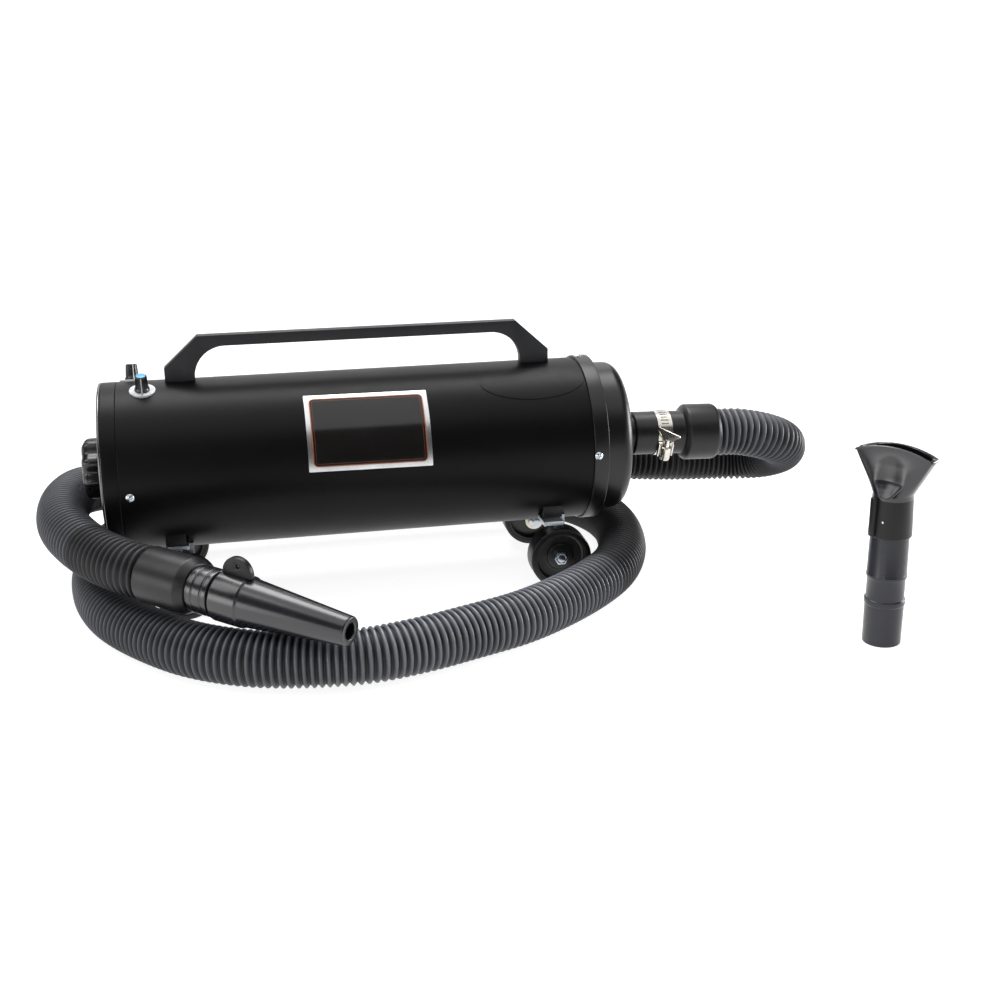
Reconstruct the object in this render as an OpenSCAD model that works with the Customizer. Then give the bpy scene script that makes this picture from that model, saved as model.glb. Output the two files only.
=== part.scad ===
// Twin motor pet dryer: steel canister on four wheels, ribbed hose, cone nozzle and loose fan nozzle.
// Millimetres. X runs along the canister to the outlet, Z is up, the origin is on the floor below its middle.

/* [Canister] */
// Outside diameter of the steel canister
body_d = 165; // [160:1:170]
// Height of the canister's axis above the floor
axis_z = 136; // [134:0.5:139]
// Thickness of the sheet steel
wall = 1.5; // [1:0.1:2]
// Left end of the canister, at the intake rim
intake_x = -245; // [-247:0.5:-243]
// Seam between the intake ring and the tube
intake_seam_x = -229.5; // [-231:0.5:-228]
// Seam between the tube and the outlet end cap
outlet_seam_x = 225; // [223:0.5:227]

/* [Handle] */
// Height of the top of the carry handle above the floor
handle_top = 262; // [258:0.5:264]
// Depth of the grip bar seen from the side
grip_h = 10.5; // [9:0.5:13]
// Width of the handle across the canister
handle_w = 11.5; // [10:0.5:14]

/* [Outlet] */
// Outside diameter of the outlet spigot
spigot_d = 38; // [36:0.5:40]
// Outside diameter of the narrow end of the hose cuff
sleeve_d = 45; // [44:0.5:46]
// Outside diameter of the wide end of the hose cuff
cuff_d = 58.5; // [56:0.5:60]

/* [Hose] */
// Outside diameter of the ribbed hose
hose_d = 50; // [48:0.5:50]
// Bore of the ribbed hose
hose_bore = 37; // [36:0.5:38]
// Number of ribs drawn along the hose
hose_ribs = 178; // [100:1:178]

/* [Wheels] */
// Diameter of the wheels
wheel_d = 62; // [60:0.5:63]
// Width of the tyres
wheel_w = 22; // [20:0.5:23]
// Diameter of the axle bolts
axle_d = 8; // [7:0.5:9]

/* [Nozzles] */
// Outside diameter of the cone nozzle at its tip
tip_d = 26; // [24:0.5:28]
// Bore of the cone nozzle at its tip
tip_bore = 14; // [10:0.5:16]
// Width of the fan nozzle's mouth
mouth_w = 75; // [70:1:80]
// Thickness of the fan nozzle's mouth
mouth_t = 16; // [14:0.5:18]

/* [Hidden] */
$fn = 96;

body_r = body_d / 2;
inner_r = body_r - wall;
handle_x = 6.5;
grip_half = 156.5;
leg_out = 33;
leg_in = 4.5;
dial_x = [-204, -215];
dial_tilt = [15.7, -15.7];
dial_r = 13.5;
dial_top = body_r + 1.1;
knob_h = 18;
pointer_turn = [0, 18];
foot_x = [[-183.5, 187.5], [-192, 187.5]];
foot_side = 60;
foot_plate = [[-8, 64.5], [-12, 76]];
wheel_shift = 6;
wheel_r = wheel_d / 2;
wheel_in = 55;
plate_bottom = 67;
plate_t = 4;
dome_r = 260;
dome_c = 18;
cap_r = 76;
cap_x = 240.5;
corner_r = 12;
corner_c = cap_r - corner_r;
corner_x = dome_c + sqrt(pow(dome_r - corner_r, 2) - pow(corner_c, 2));
corner_a = atan2(corner_c, corner_x - dome_c);
hole_a = asin((spigot_d / 2 + 0.3) / dome_r);
screw_x = [-220.5, outlet_seam_x + 4];
clamp_x = 310.5;
clamp_w = 15.5;
clamp_tilt = 112;
key_turn = -45;
cuff_x = 287;
cuff_step = 341;
cuff_len = 37;
outlet_x = 274;
outlet_sag = 2.1;
cuff_dir = [cos(outlet_sag), 0, -sin(outlet_sag)];
cuff_end = [outlet_x, 0, axis_z] + (cuff_step + cuff_len - outlet_x) * cuff_dir;
hose_gap = 1.2;
hose_start = cuff_end + [hose_gap, 0, -1.4];
nozzle_start = [-204.5, -156, 80.1];
nozzle_turn = -38.9;
nozzle_drop = 4.1;
hand_len = 54;
nozzle_len = 212;
hand_dir = [
  cos(nozzle_drop) * cos(nozzle_turn), cos(nozzle_drop) * sin(nozzle_turn), -sin(nozzle_drop)
];
fan_at = [448, -270, 0];
fan_turn = -54;
mouth_mid = 186.2;
mouth_arc = 95;
collar_r = 19.3;
throat_r = 17.9;
motor_x = [-158, 15];

// Route of the hose's centre line, from the outlet cuff round the canister to the hand cuff
route = [
  hose_start, hose_start + 25 * cuff_dir, [429, 2, 124.5], [454, 11, 114.5], [472, 32, 101],
  [479, 60, 86], [470, 88, 73], [447, 107, 67], [415, 114, 67], [370, 115, 69], [320, 116, 73],
  [265, 116, 78], [210, 119, 75], [150, 122, 70], [70, 124, 68], [-20, 124, 67],
  [-100, 122, 65], [-158, 117, 57], [-206, 112, 43], [-241, 93, 32], [-259, 52, 26.5],
  [-264, 8, 25.2], [-262, -34, 25.2], [-254, -78, 25.2], [-238, -120, 25.2],
  [-210, -163, 25.2], [-173, -204, 25.2], [-128, -233, 25.2], [-78, -248, 25.2],
  [-25, -252, 25.2], [25, -241, 25.2], [75, -222, 25.2], [122, -202, 25.2], [165, -174, 25.2],
  [206, -139, 25.2], [240, -100, 25.2], [262, -57, 25.2], [274, -12, 25.2], [278, 34, 25.2],
  [271, 80, 25.2], [250, 122, 25.2], [212, 153, 25.2], [160, 167, 25.2], [90, 170, 25.2],
  [10, 170, 25.2], [-60, 170, 25.3], [-110, 170, 27], [-150, 170, 35], [-184, 168, 47],
  [-219, 160, 61], [-254, 138, 74], [-280, 102, 83], [-291, 60, 87], [-293, 15, 88],
  [-287, -30, 87], [-270, -75, 85.5], [-248, -112, 83.5], nozzle_start - 25 * hand_dir,
  nozzle_start - hose_gap * hand_dir
];

function spline(a, b, c, d, t) = 0.5 * (2 * b + (c - a) * t + (2 * a - 5 * b + 4 * c - d) * t * t
  + (3 * b - a - 3 * c + d) * t * t * t);
function at_route(i) = route[max(0, min(len(route) - 1, i))];
steps = 6;
fine = [
  for (i = [0 : len(route) - 2], k = [0 : steps - 1])
    spline(at_route(i - 1), at_route(i), at_route(i + 1), at_route(i + 2), k / steps),
  route[len(route) - 1]
];
run = [for (i = 0, s = 0; i < len(fine); s = s + norm(at_fine(i + 1) - at_fine(i)), i = i + 1) s];
function at_fine(i) = fine[min(len(fine) - 1, i)];
hose_len = run[len(run) - 1];
table_x = [for (i = [0 : len(fine) - 1]) [run[i], fine[i].x]];
table_y = [for (i = [0 : len(fine) - 1]) [run[i], fine[i].y]];
table_z = [for (i = [0 : len(fine) - 1]) [run[i], fine[i].z]];
function along(s) = [lookup(s, table_x), lookup(s, table_y), lookup(s, table_z)];
function unit(v) = v / norm(v);
function heading(s) = unit(along(min(hose_len, s + 4)) - along(max(0, s - 4)));
function ring(s, r) =
  let (t = heading(s), u = unit(cross(t, [0, 0, 1])), v = cross(u, t), c = along(s))
  [for (j = [0 : 7]) c + r * (cos(45 * j) * u + sin(45 * j) * v)];

module along_x(x) {
  translate([x, 0, axis_z])
  rotate([0, 90, 0])
  children();
}

// Frame of the outlet, which sags a little under the hose, Z runs along it and -X is up
module outlet_frame(x) {
  translate([outlet_x, 0, axis_z])
  rotate([0, 90 + outlet_sag, 0])
  translate([0, 0, x - outlet_x])
  children();
}

// Tube along X between two stations
module pipe_x(x0, x1, ro, ri) {
  along_x(x0)
  difference() {
    cylinder(r = ro, h = x1 - x0);
    translate([0, 0, -1])
    cylinder(r = ri, h = x1 - x0 + 2);
  }
}

// Piece standing on the canister's skin, turned from the top towards the near side
module on_skin(x, angle) {
  translate([x, 0, axis_z])
  rotate([angle, 0, 0])
  children();
}

// Curved panel lying on the skin
module skin_panel(x0, x1, a0, a1, r0, r1) {
  along_x(x0)
  rotate([0, 0, 180 + a0])
  rotate_extrude(angle = a1 - a0)
  translate([r0, 0])
  square([r1 - r0, x1 - x0]);
}

module end_screw_places() {
  for (a = [95, 215, 325])
    on_skin(screw_x[0], a)
    translate([0, 0, body_r])
    children();
  for (a = [88, 178, 268, 358])
    on_skin(screw_x[1], a)
    translate([0, 0, body_r + 2])
    children();
}

module dial_places() {
  for (i = [0, 1])
    on_skin(dial_x[i], dial_tilt[i])
    children();
}

module handle_bolt_places() {
  for (s = [-1, 1])
    translate([handle_x + s * (grip_half + leg_out - 14), 0, 0])
    children();
}

module foot_places() {
  for (side = [0, 1], x = foot_x[side])
    translate([x, 0, 0])
    mirror([0, side, 0])
    children();
}

module canister_tube() {
  color("dimgray")
  difference() {
    pipe_x(intake_seam_x, outlet_seam_x + 12, body_r, inner_r);
    end_screw_places()
    translate([0, 0, -8])
    cylinder(r = 2.05, h = 12);
    dial_places()
    translate([0, 0, inner_r - 6])
    cylinder(r = 3.6, h = 12);
    handle_bolt_places()
    translate([0, 0, axis_z + inner_r - 6])
    cylinder(r = 3.2, h = 12);
    foot_places()
    translate([0, -foot_side + 6, 40])
    cylinder(r = 3.1, h = 60);
    on_skin(-200, 270)
    translate([0, 0, inner_r - 6])
    cylinder(r = 7.1, h = 12);
  }
}

module intake_ring() {
  color("dimgray")
  difference() {
    along_x(intake_x)
    rotate_extrude()
    union() {
      polygon([
        [inner_r - 1.5, 0], [body_r, 0], [body_r, intake_seam_x - intake_x - 0.15],
        [inner_r - 0.05, intake_seam_x - intake_x - 0.15], [inner_r - 0.05, 34], [inner_r - 1.5, 34]
      ]);
      translate([body_r - 1.2, 0])
      circle(r = 1.4);
    }
    end_screw_places()
    translate([0, 0, -8])
    cylinder(r = 2.05, h = 12);
    dial_places()
    translate([0, 0, inner_r - 14])
    cylinder(r = 9.4, h = 14.5);
  }
}

// Slotted disc that holds the filter in the ring
module filter_cover() {
  color("black")
  difference() {
    along_x(intake_x - 0.5)
    rotate_extrude()
    union() {
      translate([4.2, 0])
      square([74.8, 1.6]);
      translate([77, 0])
      square([2, 12]);
      translate([4.2, 0])
      square([12, 4]);
    }
    for (row = [24, 36, 48, 60], k = [0 : 11])
      along_x(intake_x - 2)
      rotate([0, 0, 30 * k + (row == 36 || row == 60 ? 15 : 0)])
      rotate_extrude(angle = 22)
      translate([row, 0])
      square([6, 4]);
  }
}

module intake_filter() {
  color("gray")
  pipe_x(intake_x + 12.2, intake_x + 20, 79, 8);
}

// Steel strap across the ring that carries the knob's stud
module filter_bridge() {
  color("silver") {
    difference() {
      translate([intake_x + 28, -78.8, axis_z - 9])
      cube([2, 157.6, 18]);
      along_x(intake_x + 20)
      cylinder(r = 3.9, h = 20);
    }
    along_x(intake_x - 12)
    cylinder(r = 4, h = 46);
  }
}

module filter_knob() {
  color("black")
  difference() {
    along_x(intake_x - 22)
    intersection() {
      linear_extrude(18)
      union() {
        circle(r = 23);
        for (k = [0 : 7])
          rotate([0, 0, 45 * k])
          translate([22, 0])
          circle(r = 8);
      }
      rotate_extrude()
      union() {
        square([24, 18]);
        translate([24, 6])
        square([6, 6]);
        translate([24, 6])
        circle(r = 6);
        translate([24, 12])
        circle(r = 6);
      }
    }
    along_x(intake_x - 12.05)
    cylinder(r = 4.05, h = 30);
  }
}

// Points from the top of the rolled corner, round it and along the shallow dome to the outlet hole
function cap_point(k, grow) = k < 8
  ? let (a = 90 - (90 - corner_a) * k / 8)
    [corner_c + (corner_r + grow) * sin(a), corner_x + (corner_r + grow) * cos(a)]
  : let (a = corner_a - (corner_a - hole_a) * (k - 8) / 6)
    [(dome_r + grow) * sin(a), dome_c + (dome_r + grow) * cos(a)];

// Domed outlet end: skirt over the tube, step, rolled corner and shallow dome
module outlet_end_cap() {
  color("dimgray")
  difference() {
    along_x(0)
    rotate_extrude()
    polygon([
      [body_r + 0.05, outlet_seam_x], [body_r + 2, outlet_seam_x], [body_r + 2, cap_x],
      [cap_r, cap_x],
      for (k = [0 : 14]) cap_point(k, 0),
      for (k = [14 : -1 : 0]) cap_point(k, -wall),
      [cap_r - wall, cap_x - wall], [body_r + 0.05, cap_x - wall]
    ]);
    end_screw_places()
    translate([0, 0, -8])
    cylinder(r = 2.05, h = 12);
  }
}

module outlet_spigot() {
  color("silver")
  outlet_frame(outlet_x)
  rotate_extrude()
  polygon([
    [spigot_d / 2 - 1.6, -6], [spigot_d / 2 - 0.05, -6], [spigot_d / 2 - 0.05, -3], [27, -3],
    [27, -1.2], [spigot_d / 2 - 0.05, -1.2], [spigot_d / 2 - 0.05, 56], [spigot_d / 2 - 1.6, 56]
  ]);
}

module end_screws() {
  color("gainsboro")
  end_screw_places()
  difference() {
    union() {
      translate([0, 0, -5.5])
      cylinder(r = 2, h = 6);
      intersection() {
        translate([0, 0, -2.9])
        sphere(r = 5.4);
        cylinder(r = 4, h = 4);
      }
    }
    for (a = [0, 90])
      rotate([0, 0, a])
      translate([-2.2, -0.5, 1.2])
      cube([4.4, 1, 3]);
    translate([0, 0, 0.6])
    cylinder(r = 1, h = 5);
  }
}

module handle_profile() {
  x0 = handle_x - grip_half;
  x1 = handle_x + grip_half;
  difference() {
    polygon([
      [x0 - leg_out, 205], [x0 - leg_out, 232], [x0, handle_top], [x1, handle_top],
      [x1 + leg_out, 232], [x1 + leg_out, 205]
    ]);
    difference() {
      translate([x0 - leg_in, 200])
      square([x1 - x0 + 2 * leg_in, handle_top - grip_h - 200]);
      difference() {
        union() {
          translate([x0 - leg_in, handle_top - grip_h - 30])
          square(30);
          translate([x1 + leg_in - 30, handle_top - grip_h - 30])
          square(30);
        }
        for (x = [x0 - leg_in + 30, x1 + leg_in - 30])
          translate([x, handle_top - grip_h - 30])
          circle(r = 30);
      }
    }
  }
}

module carry_handle() {
  color("dimgray")
  difference() {
    translate([0, handle_w / 2, 0])
    rotate([90, 0, 0])
    linear_extrude(handle_w)
    handle_profile();
    along_x(-250)
    cylinder(r = body_r, h = 500);
    handle_bolt_places()
    translate([0, 0, axis_z + inner_r - 6])
    cylinder(r = 3, h = 22);
  }
}

module handle_bolts() {
  color("silver")
  handle_bolt_places() {
    translate([0, 0, 212.6])
    cylinder(r = 5, h = 4.2);
    translate([0, 0, 215])
    cylinder(r = 3, h = 16);
  }
}

module nameplate() {
  color("lightgray")
  skin_panel(-54.5, 64, 32.4, 86.4, body_r, body_r + 0.8);
}

module oval_badge() {
  color("gray")
  intersection() {
    skin_panel(110, 232, 5, 60, body_r, body_r + 0.5);
    on_skin(171.5, 29.8)
    translate([0, 0, 40])
    linear_extrude(60)
    polygon([for (k = [0 : 59]) [52.5 * cos(6 * k), 22.5 * sin(6 * k)]]);
  }
}

module dial_plate(i) {
  difference() {
    on_skin(dial_x[i], dial_tilt[i])
    translate([0, 0, body_r - 4])
    cylinder(r = dial_r, h = dial_top - body_r + 4);
    along_x(-250)
    cylinder(r = body_r, h = 100, $fn = 240);
    on_skin(dial_x[i], dial_tilt[i])
    cylinder(r = 3.6, h = 120);
  }
}

module front_dial_plate() {
  color("white")
  dial_plate(0);
}

module rear_dial_plate() {
  color("white")
  dial_plate(1);
}

module speed_controls() {
  color("darkslategray")
  dial_places()
  difference() {
    union() {
      translate([0, 0, inner_r - 12])
      cylinder(r = 9, h = 11.4);
      translate([0, 0, inner_r - 2])
      cylinder(r = 3.5, h = 3.5);
    }
    translate([0, 0, inner_r - 9])
    cylinder(r = 3.05, h = 20);
  }
}

module control_shaft(i) {
  on_skin(dial_x[i], dial_tilt[i])
  translate([0, 0, inner_r - 8.8])
  cylinder(r = 3, h = dial_top + 12 - inner_r + 8.8);
}

module front_control_shaft() {
  color("silver")
  control_shaft(0);
}

module rear_control_shaft() {
  color("silver")
  control_shaft(1);
}

module speed_knob(i) {
  on_skin(dial_x[i], dial_tilt[i])
  translate([0, 0, dial_top + 0.3])
  difference() {
    rotate_extrude()
    difference() {
      polygon([
        [0, 0], [8.3, 0], [8.3, 1.2], [7.2, 3.6], [6.4, knob_h - 0.8], [5.6, knob_h], [0, knob_h]
      ]);
      translate([-1, knob_h - 0.9])
      square([6.1, 2]);
      translate([-1, -1])
      square([4, 12.7]);
    }
    for (k = [1 : 17])
      rotate([0, 0, 20 * k - 90 + pointer_turn[i]])
      translate([7.35, 0, 4.2])
      rotate([0, -3.2, 0])
      cylinder(r = 0.55, h = knob_h - 6);
    rotate([0, 0, pointer_turn[i]])
    translate([-0.55, -9, -1])
    cube([1.1, 2.6, knob_h + 2]);
  }
}

module front_speed_knob() {
  color("black")
  speed_knob(0);
}

module rear_speed_knob() {
  color("black")
  speed_knob(1);
}

module knob_cap(i) {
  on_skin(dial_x[i], dial_tilt[i])
  translate([0, 0, dial_top + 0.3 + knob_h - 0.9])
  cylinder(r = 5.1, h = 1.2);
}

module front_knob_cap() {
  color("skyblue")
  knob_cap(0);
}

module rear_knob_cap() {
  color("skyblue")
  knob_cap(1);
}

module knob_pointer(i) {
  on_skin(dial_x[i], dial_tilt[i])
  translate([0, 0, dial_top + 0.3])
  rotate([0, 0, pointer_turn[i]])
  translate([-0.55, 0, 0])
  rotate([90, 0, 90])
  linear_extrude(1.1)
  polygon([[-6.4, 0.1], [-8.5, 0.1], [-8.5, 1.3], [-7.4, 3.8], [-6.6, knob_h - 0.6], [-6.4, knob_h - 0.6]]);
}

module front_knob_pointer() {
  color("white")
  knob_pointer(0);
}

module rear_knob_pointer() {
  color("white")
  knob_pointer(1);
}

// Black block between the canister and each bracket, near side drawn
module foot_blocks() {
  color("black")
  difference() {
    foot_places()
    difference() {
      translate([-9.5, -63, plate_bottom + plate_t])
      cube([19, 18, 25]);
      translate([0, -foot_side + 6, 60])
      cylinder(r = 3.05, h = 50);
    }
    along_x(-250)
    cylinder(r = body_r, h = 500);
  }
}

// One bracket: plate under its block and a leg that holds the axle
module wheel_bracket(plate_left, plate_front) {
  difference() {
    union() {
      translate([plate_left, -plate_front, plate_bottom])
      cube([20, plate_front - 45, plate_t]);
      translate([wheel_shift - 10, -48, wheel_r])
      cube([20, 3, plate_bottom + 1 - wheel_r]);
      translate([wheel_shift, -45, wheel_r])
      rotate([90, 0, 0])
      cylinder(r = 10, h = 3);
    }
    translate([wheel_shift, -40, wheel_r])
    rotate([90, 0, 0])
    cylinder(r = axle_d / 2 + 0.02, h = 12);
    translate([0, -foot_side + 6, 60])
    cylinder(r = 3.05, h = 20);
  }
}

module wheel_brackets() {
  color("silver")
  difference() {
    for (side = [0, 1], i = [0, 1])
      translate([foot_x[side][i], 0, 0])
      mirror([0, side, 0])
      wheel_bracket(foot_plate[i].x, foot_plate[i].y);
    along_x(-250)
    cylinder(r = body_r + 0.1, h = 500);
  }
}

module axle_bolts() {
  color("gainsboro")
  foot_places() {
    translate([wheel_shift, -45, wheel_r])
    rotate([90, 0, 0])
    cylinder(r = axle_d / 2, h = wheel_in + wheel_w - 44.5);
    translate([wheel_shift, -45 + 5.3, wheel_r])
    rotate([90, 0, 0])
    cylinder(r = 7.5, h = 5.3, $fn = 6);
    translate([0, -foot_side + 6, plate_bottom - 3.5])
    cylinder(r = 5, h = 3.5);
    translate([0, -foot_side + 6, plate_bottom - 1])
    cylinder(r = 3, h = 18);
  }
}

module axle_nuts() {
  color("gainsboro")
  foot_places()
  difference() {
    translate([wheel_shift, -wheel_in - wheel_w + 6.2, wheel_r])
    rotate([90, 0, 0])
    cylinder(r = 7.2, h = 6, $fn = 6);
    translate([wheel_shift, -70, wheel_r])
    rotate([90, 0, 0])
    cylinder(r = axle_d / 2 - 0.05, h = 30);
  }
}

// Wheel turned about Y, drawn from its inner face outwards
module wheel_at(i) {
  side = floor(i / 2);
  translate([foot_x[side][i % 2] + wheel_shift, 0, wheel_r])
  mirror([0, side, 0])
  translate([0, -wheel_in, 0])
  rotate([90, 0, 0])
  children();
}

module wheel_core(i) {
  wheel_at(i)
  rotate_extrude()
  polygon([
    [axle_d / 2 + 0.06, 0], [9.5, 0], [9.5, 6], [24.5, 8], [24.5, 1.2], [26, 1.2],
    [26, wheel_w - 1], [24.5, wheel_w - 1], [24.5, wheel_w - 9], [13.3, wheel_w - 10],
    [13.3, wheel_w - 6.4], [axle_d / 2 + 0.06, wheel_w - 6.4]
  ]);
}

module wheel_tyre(i) {
  wheel_at(i)
  rotate_extrude()
  difference() {
    union() {
      translate([26, 1.5])
      square([wheel_r - 26, wheel_w - 3]);
      translate([26, 0])
      square([wheel_r - 27.5, wheel_w]);
      for (z = [1.5, wheel_w - 1.5])
        translate([wheel_r - 1.5, z])
        circle(r = 1.5);
    }
    translate([20, -1])
    square([6, wheel_w + 2]);
  }
}

module wheel_1_core() {
  color("black")
  wheel_core(0);
}

module wheel_1_tyre() {
  color("dimgray")
  wheel_tyre(0);
}

module wheel_2_core() {
  color("black")
  wheel_core(1);
}

module wheel_2_tyre() {
  color("dimgray")
  wheel_tyre(1);
}

module wheel_3_core() {
  color("black")
  wheel_core(2);
}

module wheel_3_tyre() {
  color("dimgray")
  wheel_tyre(2);
}

module wheel_4_core() {
  color("black")
  wheel_core(3);
}

module wheel_4_tyre() {
  color("dimgray")
  wheel_tyre(3);
}

// Stepped rubber cuff between the spigot and the hose
module hose_cuff() {
  end = cuff_step + cuff_len - cuff_x;
  step = cuff_step - cuff_x;
  color("dimgray")
  outlet_frame(cuff_x)
  rotate_extrude()
  polygon([
    [spigot_d / 2, 0], [sleeve_d / 2, 0], [sleeve_d / 2, step], [cuff_d / 2 - 3.5, step],
    [cuff_d / 2, step + 4], [cuff_d / 2, end - 5], [hose_d / 2 + 0.3, end], [hose_bore / 2, end],
    [hose_bore / 2, step + 3], [spigot_d / 2, step + 3]
  ]);
}

module clamp_band() {
  color("silver")
  difference() {
    outlet_frame(clamp_x)
    rotate_extrude()
    translate([sleeve_d / 2, 0])
    square([0.9, clamp_w]);
    for (k = [0 : 35])
      outlet_frame(clamp_x + clamp_w / 2)
      rotate([0, 0, 10 * k + 2])
      translate([sleeve_d / 2 - 1, -0.8, -4])
      cube([3, 1.6, 8]);
  }
}

// Place on the clamp where the worm screw sits, Y runs up along the screw
module clamp_place() {
  outlet_frame(clamp_x + clamp_w / 2)
  rotate([0, -90, clamp_tilt])
  translate([0, 0, sleeve_d / 2 + 4.8])
  children();
}

module clamp_housing() {
  color("gainsboro")
  difference() {
    clamp_place()
    difference() {
      union() {
        translate([-8, -10, -3.8])
        cube([16, 16, 1.8]);
        translate([-8, -10, -3.8])
        cube([1.4, 14, 4.2]);
        translate([6.6, -10, -3.8])
        cube([1.4, 14, 4.2]);
        translate([0, -12.5, 0.2])
        rotate([-90, 0, 0])
        cylinder(r = 5.4, h = 14.5);
      }
      translate([0, -15, 0.2])
      rotate([-90, 0, 0])
      cylinder(r = 4.1, h = 25);
    }
    outlet_frame(clamp_x - 4)
    cylinder(r = sleeve_d / 2 + 0.95, h = clamp_w + 8);
  }
}

// Worm screw with its thumb key
module clamp_key() {
  color("silver")
  clamp_place()
  translate([0, 0, 0.2]) {
    rotate([-90, 0, 0])
    translate([0, 0, -12])
    cylinder(r = 4, h = 13.5);
    rotate([-90, 0, 0])
    translate([0, 0, 1])
    cylinder(r = 2.5, h = 10);
    rotate([0, key_turn, 0])
    translate([0, 0, -0.8])
    linear_extrude(1.6)
    union() {
      polygon([[-3, 7.5], [3, 7.5], [11, 18.5], [11, 21.5], [-11, 21.5], [-11, 18.5]]);
      for (x = [-11, 11])
        translate([x, 20])
        circle(r = 1.9);
    }
  }
}

// Ribbed hose: crest and valley rings outside, one bore ring to each rib
module hose() {
  n = hose_ribs;
  pitch = hose_len / n;
  outside = [
    for (i = [0 : n - 1]) each [
      ring(i * pitch, hose_d / 2), ring((i + 0.5) * pitch, hose_d / 2 - 2.8)
    ],
    ring(hose_len, hose_d / 2)
  ];
  inside = [for (i = [0 : n]) ring(i * pitch, hose_bore / 2)];
  m = len(outside);
  pts = [for (r = outside) each r, for (r = inside) each r];
  skin = [
    for (i = [0 : m - 2], j = [0 : 7])
      let (a = i * 8 + j, b = i * 8 + (j + 1) % 8)
      each [[a, b, b + 8], [a, b + 8, a + 8]]
  ];
  lining = [
    for (i = [0 : n - 1], j = [0 : 7])
      let (a = (m + i) * 8 + j, b = (m + i) * 8 + (j + 1) % 8)
      each [[a, b + 8, b], [a, a + 8, b + 8]]
  ];
  caps = [
    for (j = [0 : 7])
      let (a = j, b = (j + 1) % 8, c = m * 8 + j, d = m * 8 + (j + 1) % 8)
      each [[a, c, d], [a, d, b]],
    for (j = [0 : 7])
      let (a = (m - 1) * 8 + j, b = (m - 1) * 8 + (j + 1) % 8,
        c = (m + n) * 8 + j, d = (m + n) * 8 + (j + 1) % 8)
      each [[a, d, c], [a, b, d]]
  ];
  color("dimgray")
  polyhedron(points = pts, faces = concat(skin, lining, caps), convexity = 20);
}

// Frame of the hand end: Z runs from the hand cuff to the tip, -X is up
module hand_frame() {
  translate(nozzle_start)
  rotate([0, 0, nozzle_turn])
  rotate([0, 90 + nozzle_drop, 0])
  children();
}

module hand_cuff() {
  color("dimgray")
  hand_frame()
  rotate_extrude()
  polygon([
    [hose_bore / 2, 0], [hose_d / 2 + 0.3, 0], [26, 1.5], [26, 46], [21.6, hand_len],
    [hose_bore / 2, hand_len]
  ]);
}

module nozzle_connector() {
  color("gray")
  hand_frame()
  rotate_extrude()
  polygon([
    [16, hand_len + 0.05], [21.4, hand_len + 0.05], [21.4, 61], [20.8, 61], [20.8, 63],
    [21.6, 63], [21.6, 71], [20.8, 71], [20.8, 73], [21.6, 73], [21.6, 79.5], [18.5, 79.5],
    [18.5, 104], [16, 104]
  ]);
}

module cone_nozzle() {
  color("darkgray")
  hand_frame()
  rotate_extrude()
  polygon([
    [18.55, 80.5], [22.4, 80.5], [23, 82], [23, 109], [22.4, 110], [21.4, 110.5],
    [tip_d / 2, nozzle_len - 1], [tip_d / 2 - 1, nozzle_len], [tip_bore / 2, nozzle_len],
    [tip_bore / 2, nozzle_len - 20], [15.5, 108], [18.55, 105]
  ]);
}

// Flat round ear on the cone nozzle's collar, with its pin hole
module nozzle_ear() {
  color("darkgray")
  hand_frame()
  difference() {
    translate([-23.5, 3, 97])
    rotate([90, 0, 0])
    cylinder(r = 16.2, h = 6);
    translate([-31.5, 10, 99])
    rotate([90, 0, 0])
    cylinder(r = 1.6, h = 20);
    rotate_extrude()
    polygon([
      [0, 70], [22.42, 70], [22.42, 80.5], [23.02, 82], [23.02, 109], [22.42, 110.02],
      [21.42, 110.52], [20.6, 120], [0, 120]
    ]);
  }
}

module fan_frame() {
  translate(fan_at)
  rotate([0, 0, fan_turn])
  children();
}

// Outer or inner skin of the fan, spread from the round throat to the curved mouth
module fan_shell(r, z0, reach, span, t) {
  hull() {
    translate([0, 0, z0])
    cylinder(r = r, h = 1, $fn = 48);
    for (k = [-8 : 8])
      translate([reach * sin(span * k / 8), 0, mouth_mid - mouth_arc + reach * cos(span * k / 8)])
      rotate([90, 0, 0])
      cylinder(r = 0.6, h = t, center = true, $fn = 16);
  }
}

// Side view of the fan: it pinches in above the collar and opens a little to the mouth
module fan_pinch(lip, inset) {
  side = [
    [30, 95], [30, 140 - inset / 2], [18.4 - inset, 140.4], [13.2 - inset, 147], [8.8 - inset, 153],
    [6.9 - inset, 157], [6.2 - inset, 161], [6.2 - inset, 167], [6.6 - inset, 174], [lip, 182], [lip, 200]
  ];
  rotate([90, 0, 90])
  linear_extrude(120, center = true)
  polygon([each side, for (k = [len(side) - 1 : -1 : 0]) [-side[k].x, side[k].y]]);
}

module fan_nozzle() {
  span = asin((mouth_w / 2 - 0.6) / (mouth_arc - 0.6));
  color("darkgray")
  fan_frame()
  difference() {
    union() {
      intersection() {
        fan_shell(throat_r, 143, mouth_arc - 0.6, span, mouth_t - 1.2);
        fan_pinch(mouth_t / 2 - 0.6, 0);
      }
      intersection() {
        translate([0, 0, 104])
        cylinder(r1 = collar_r, r2 = throat_r, h = 40);
        fan_pinch(mouth_t / 2 - 0.6, 0);
      }
      rotate([0, 0, -18])
      translate([-3, -22.4, 105])
      cube([6, 6, 36]);
    }
    intersection() {
      fan_shell(throat_r - 1.8, 140.5, mouth_arc + 3, span - 3, mouth_t - 5);
      fan_pinch(mouth_t / 2 - 2.5, 1.6);
    }
    translate([0, 0, 100])
    cylinder(r = 17.25, h = 17);
    translate([0, 0, 116])
    cylinder(r = throat_r - 1.8, h = 24.8);
    rotate([0, 0, 4])
    translate([0, 0, 120])
    rotate([90, 0, 0])
    cylinder(r = 1.5, h = 40);
  }
}

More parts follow.
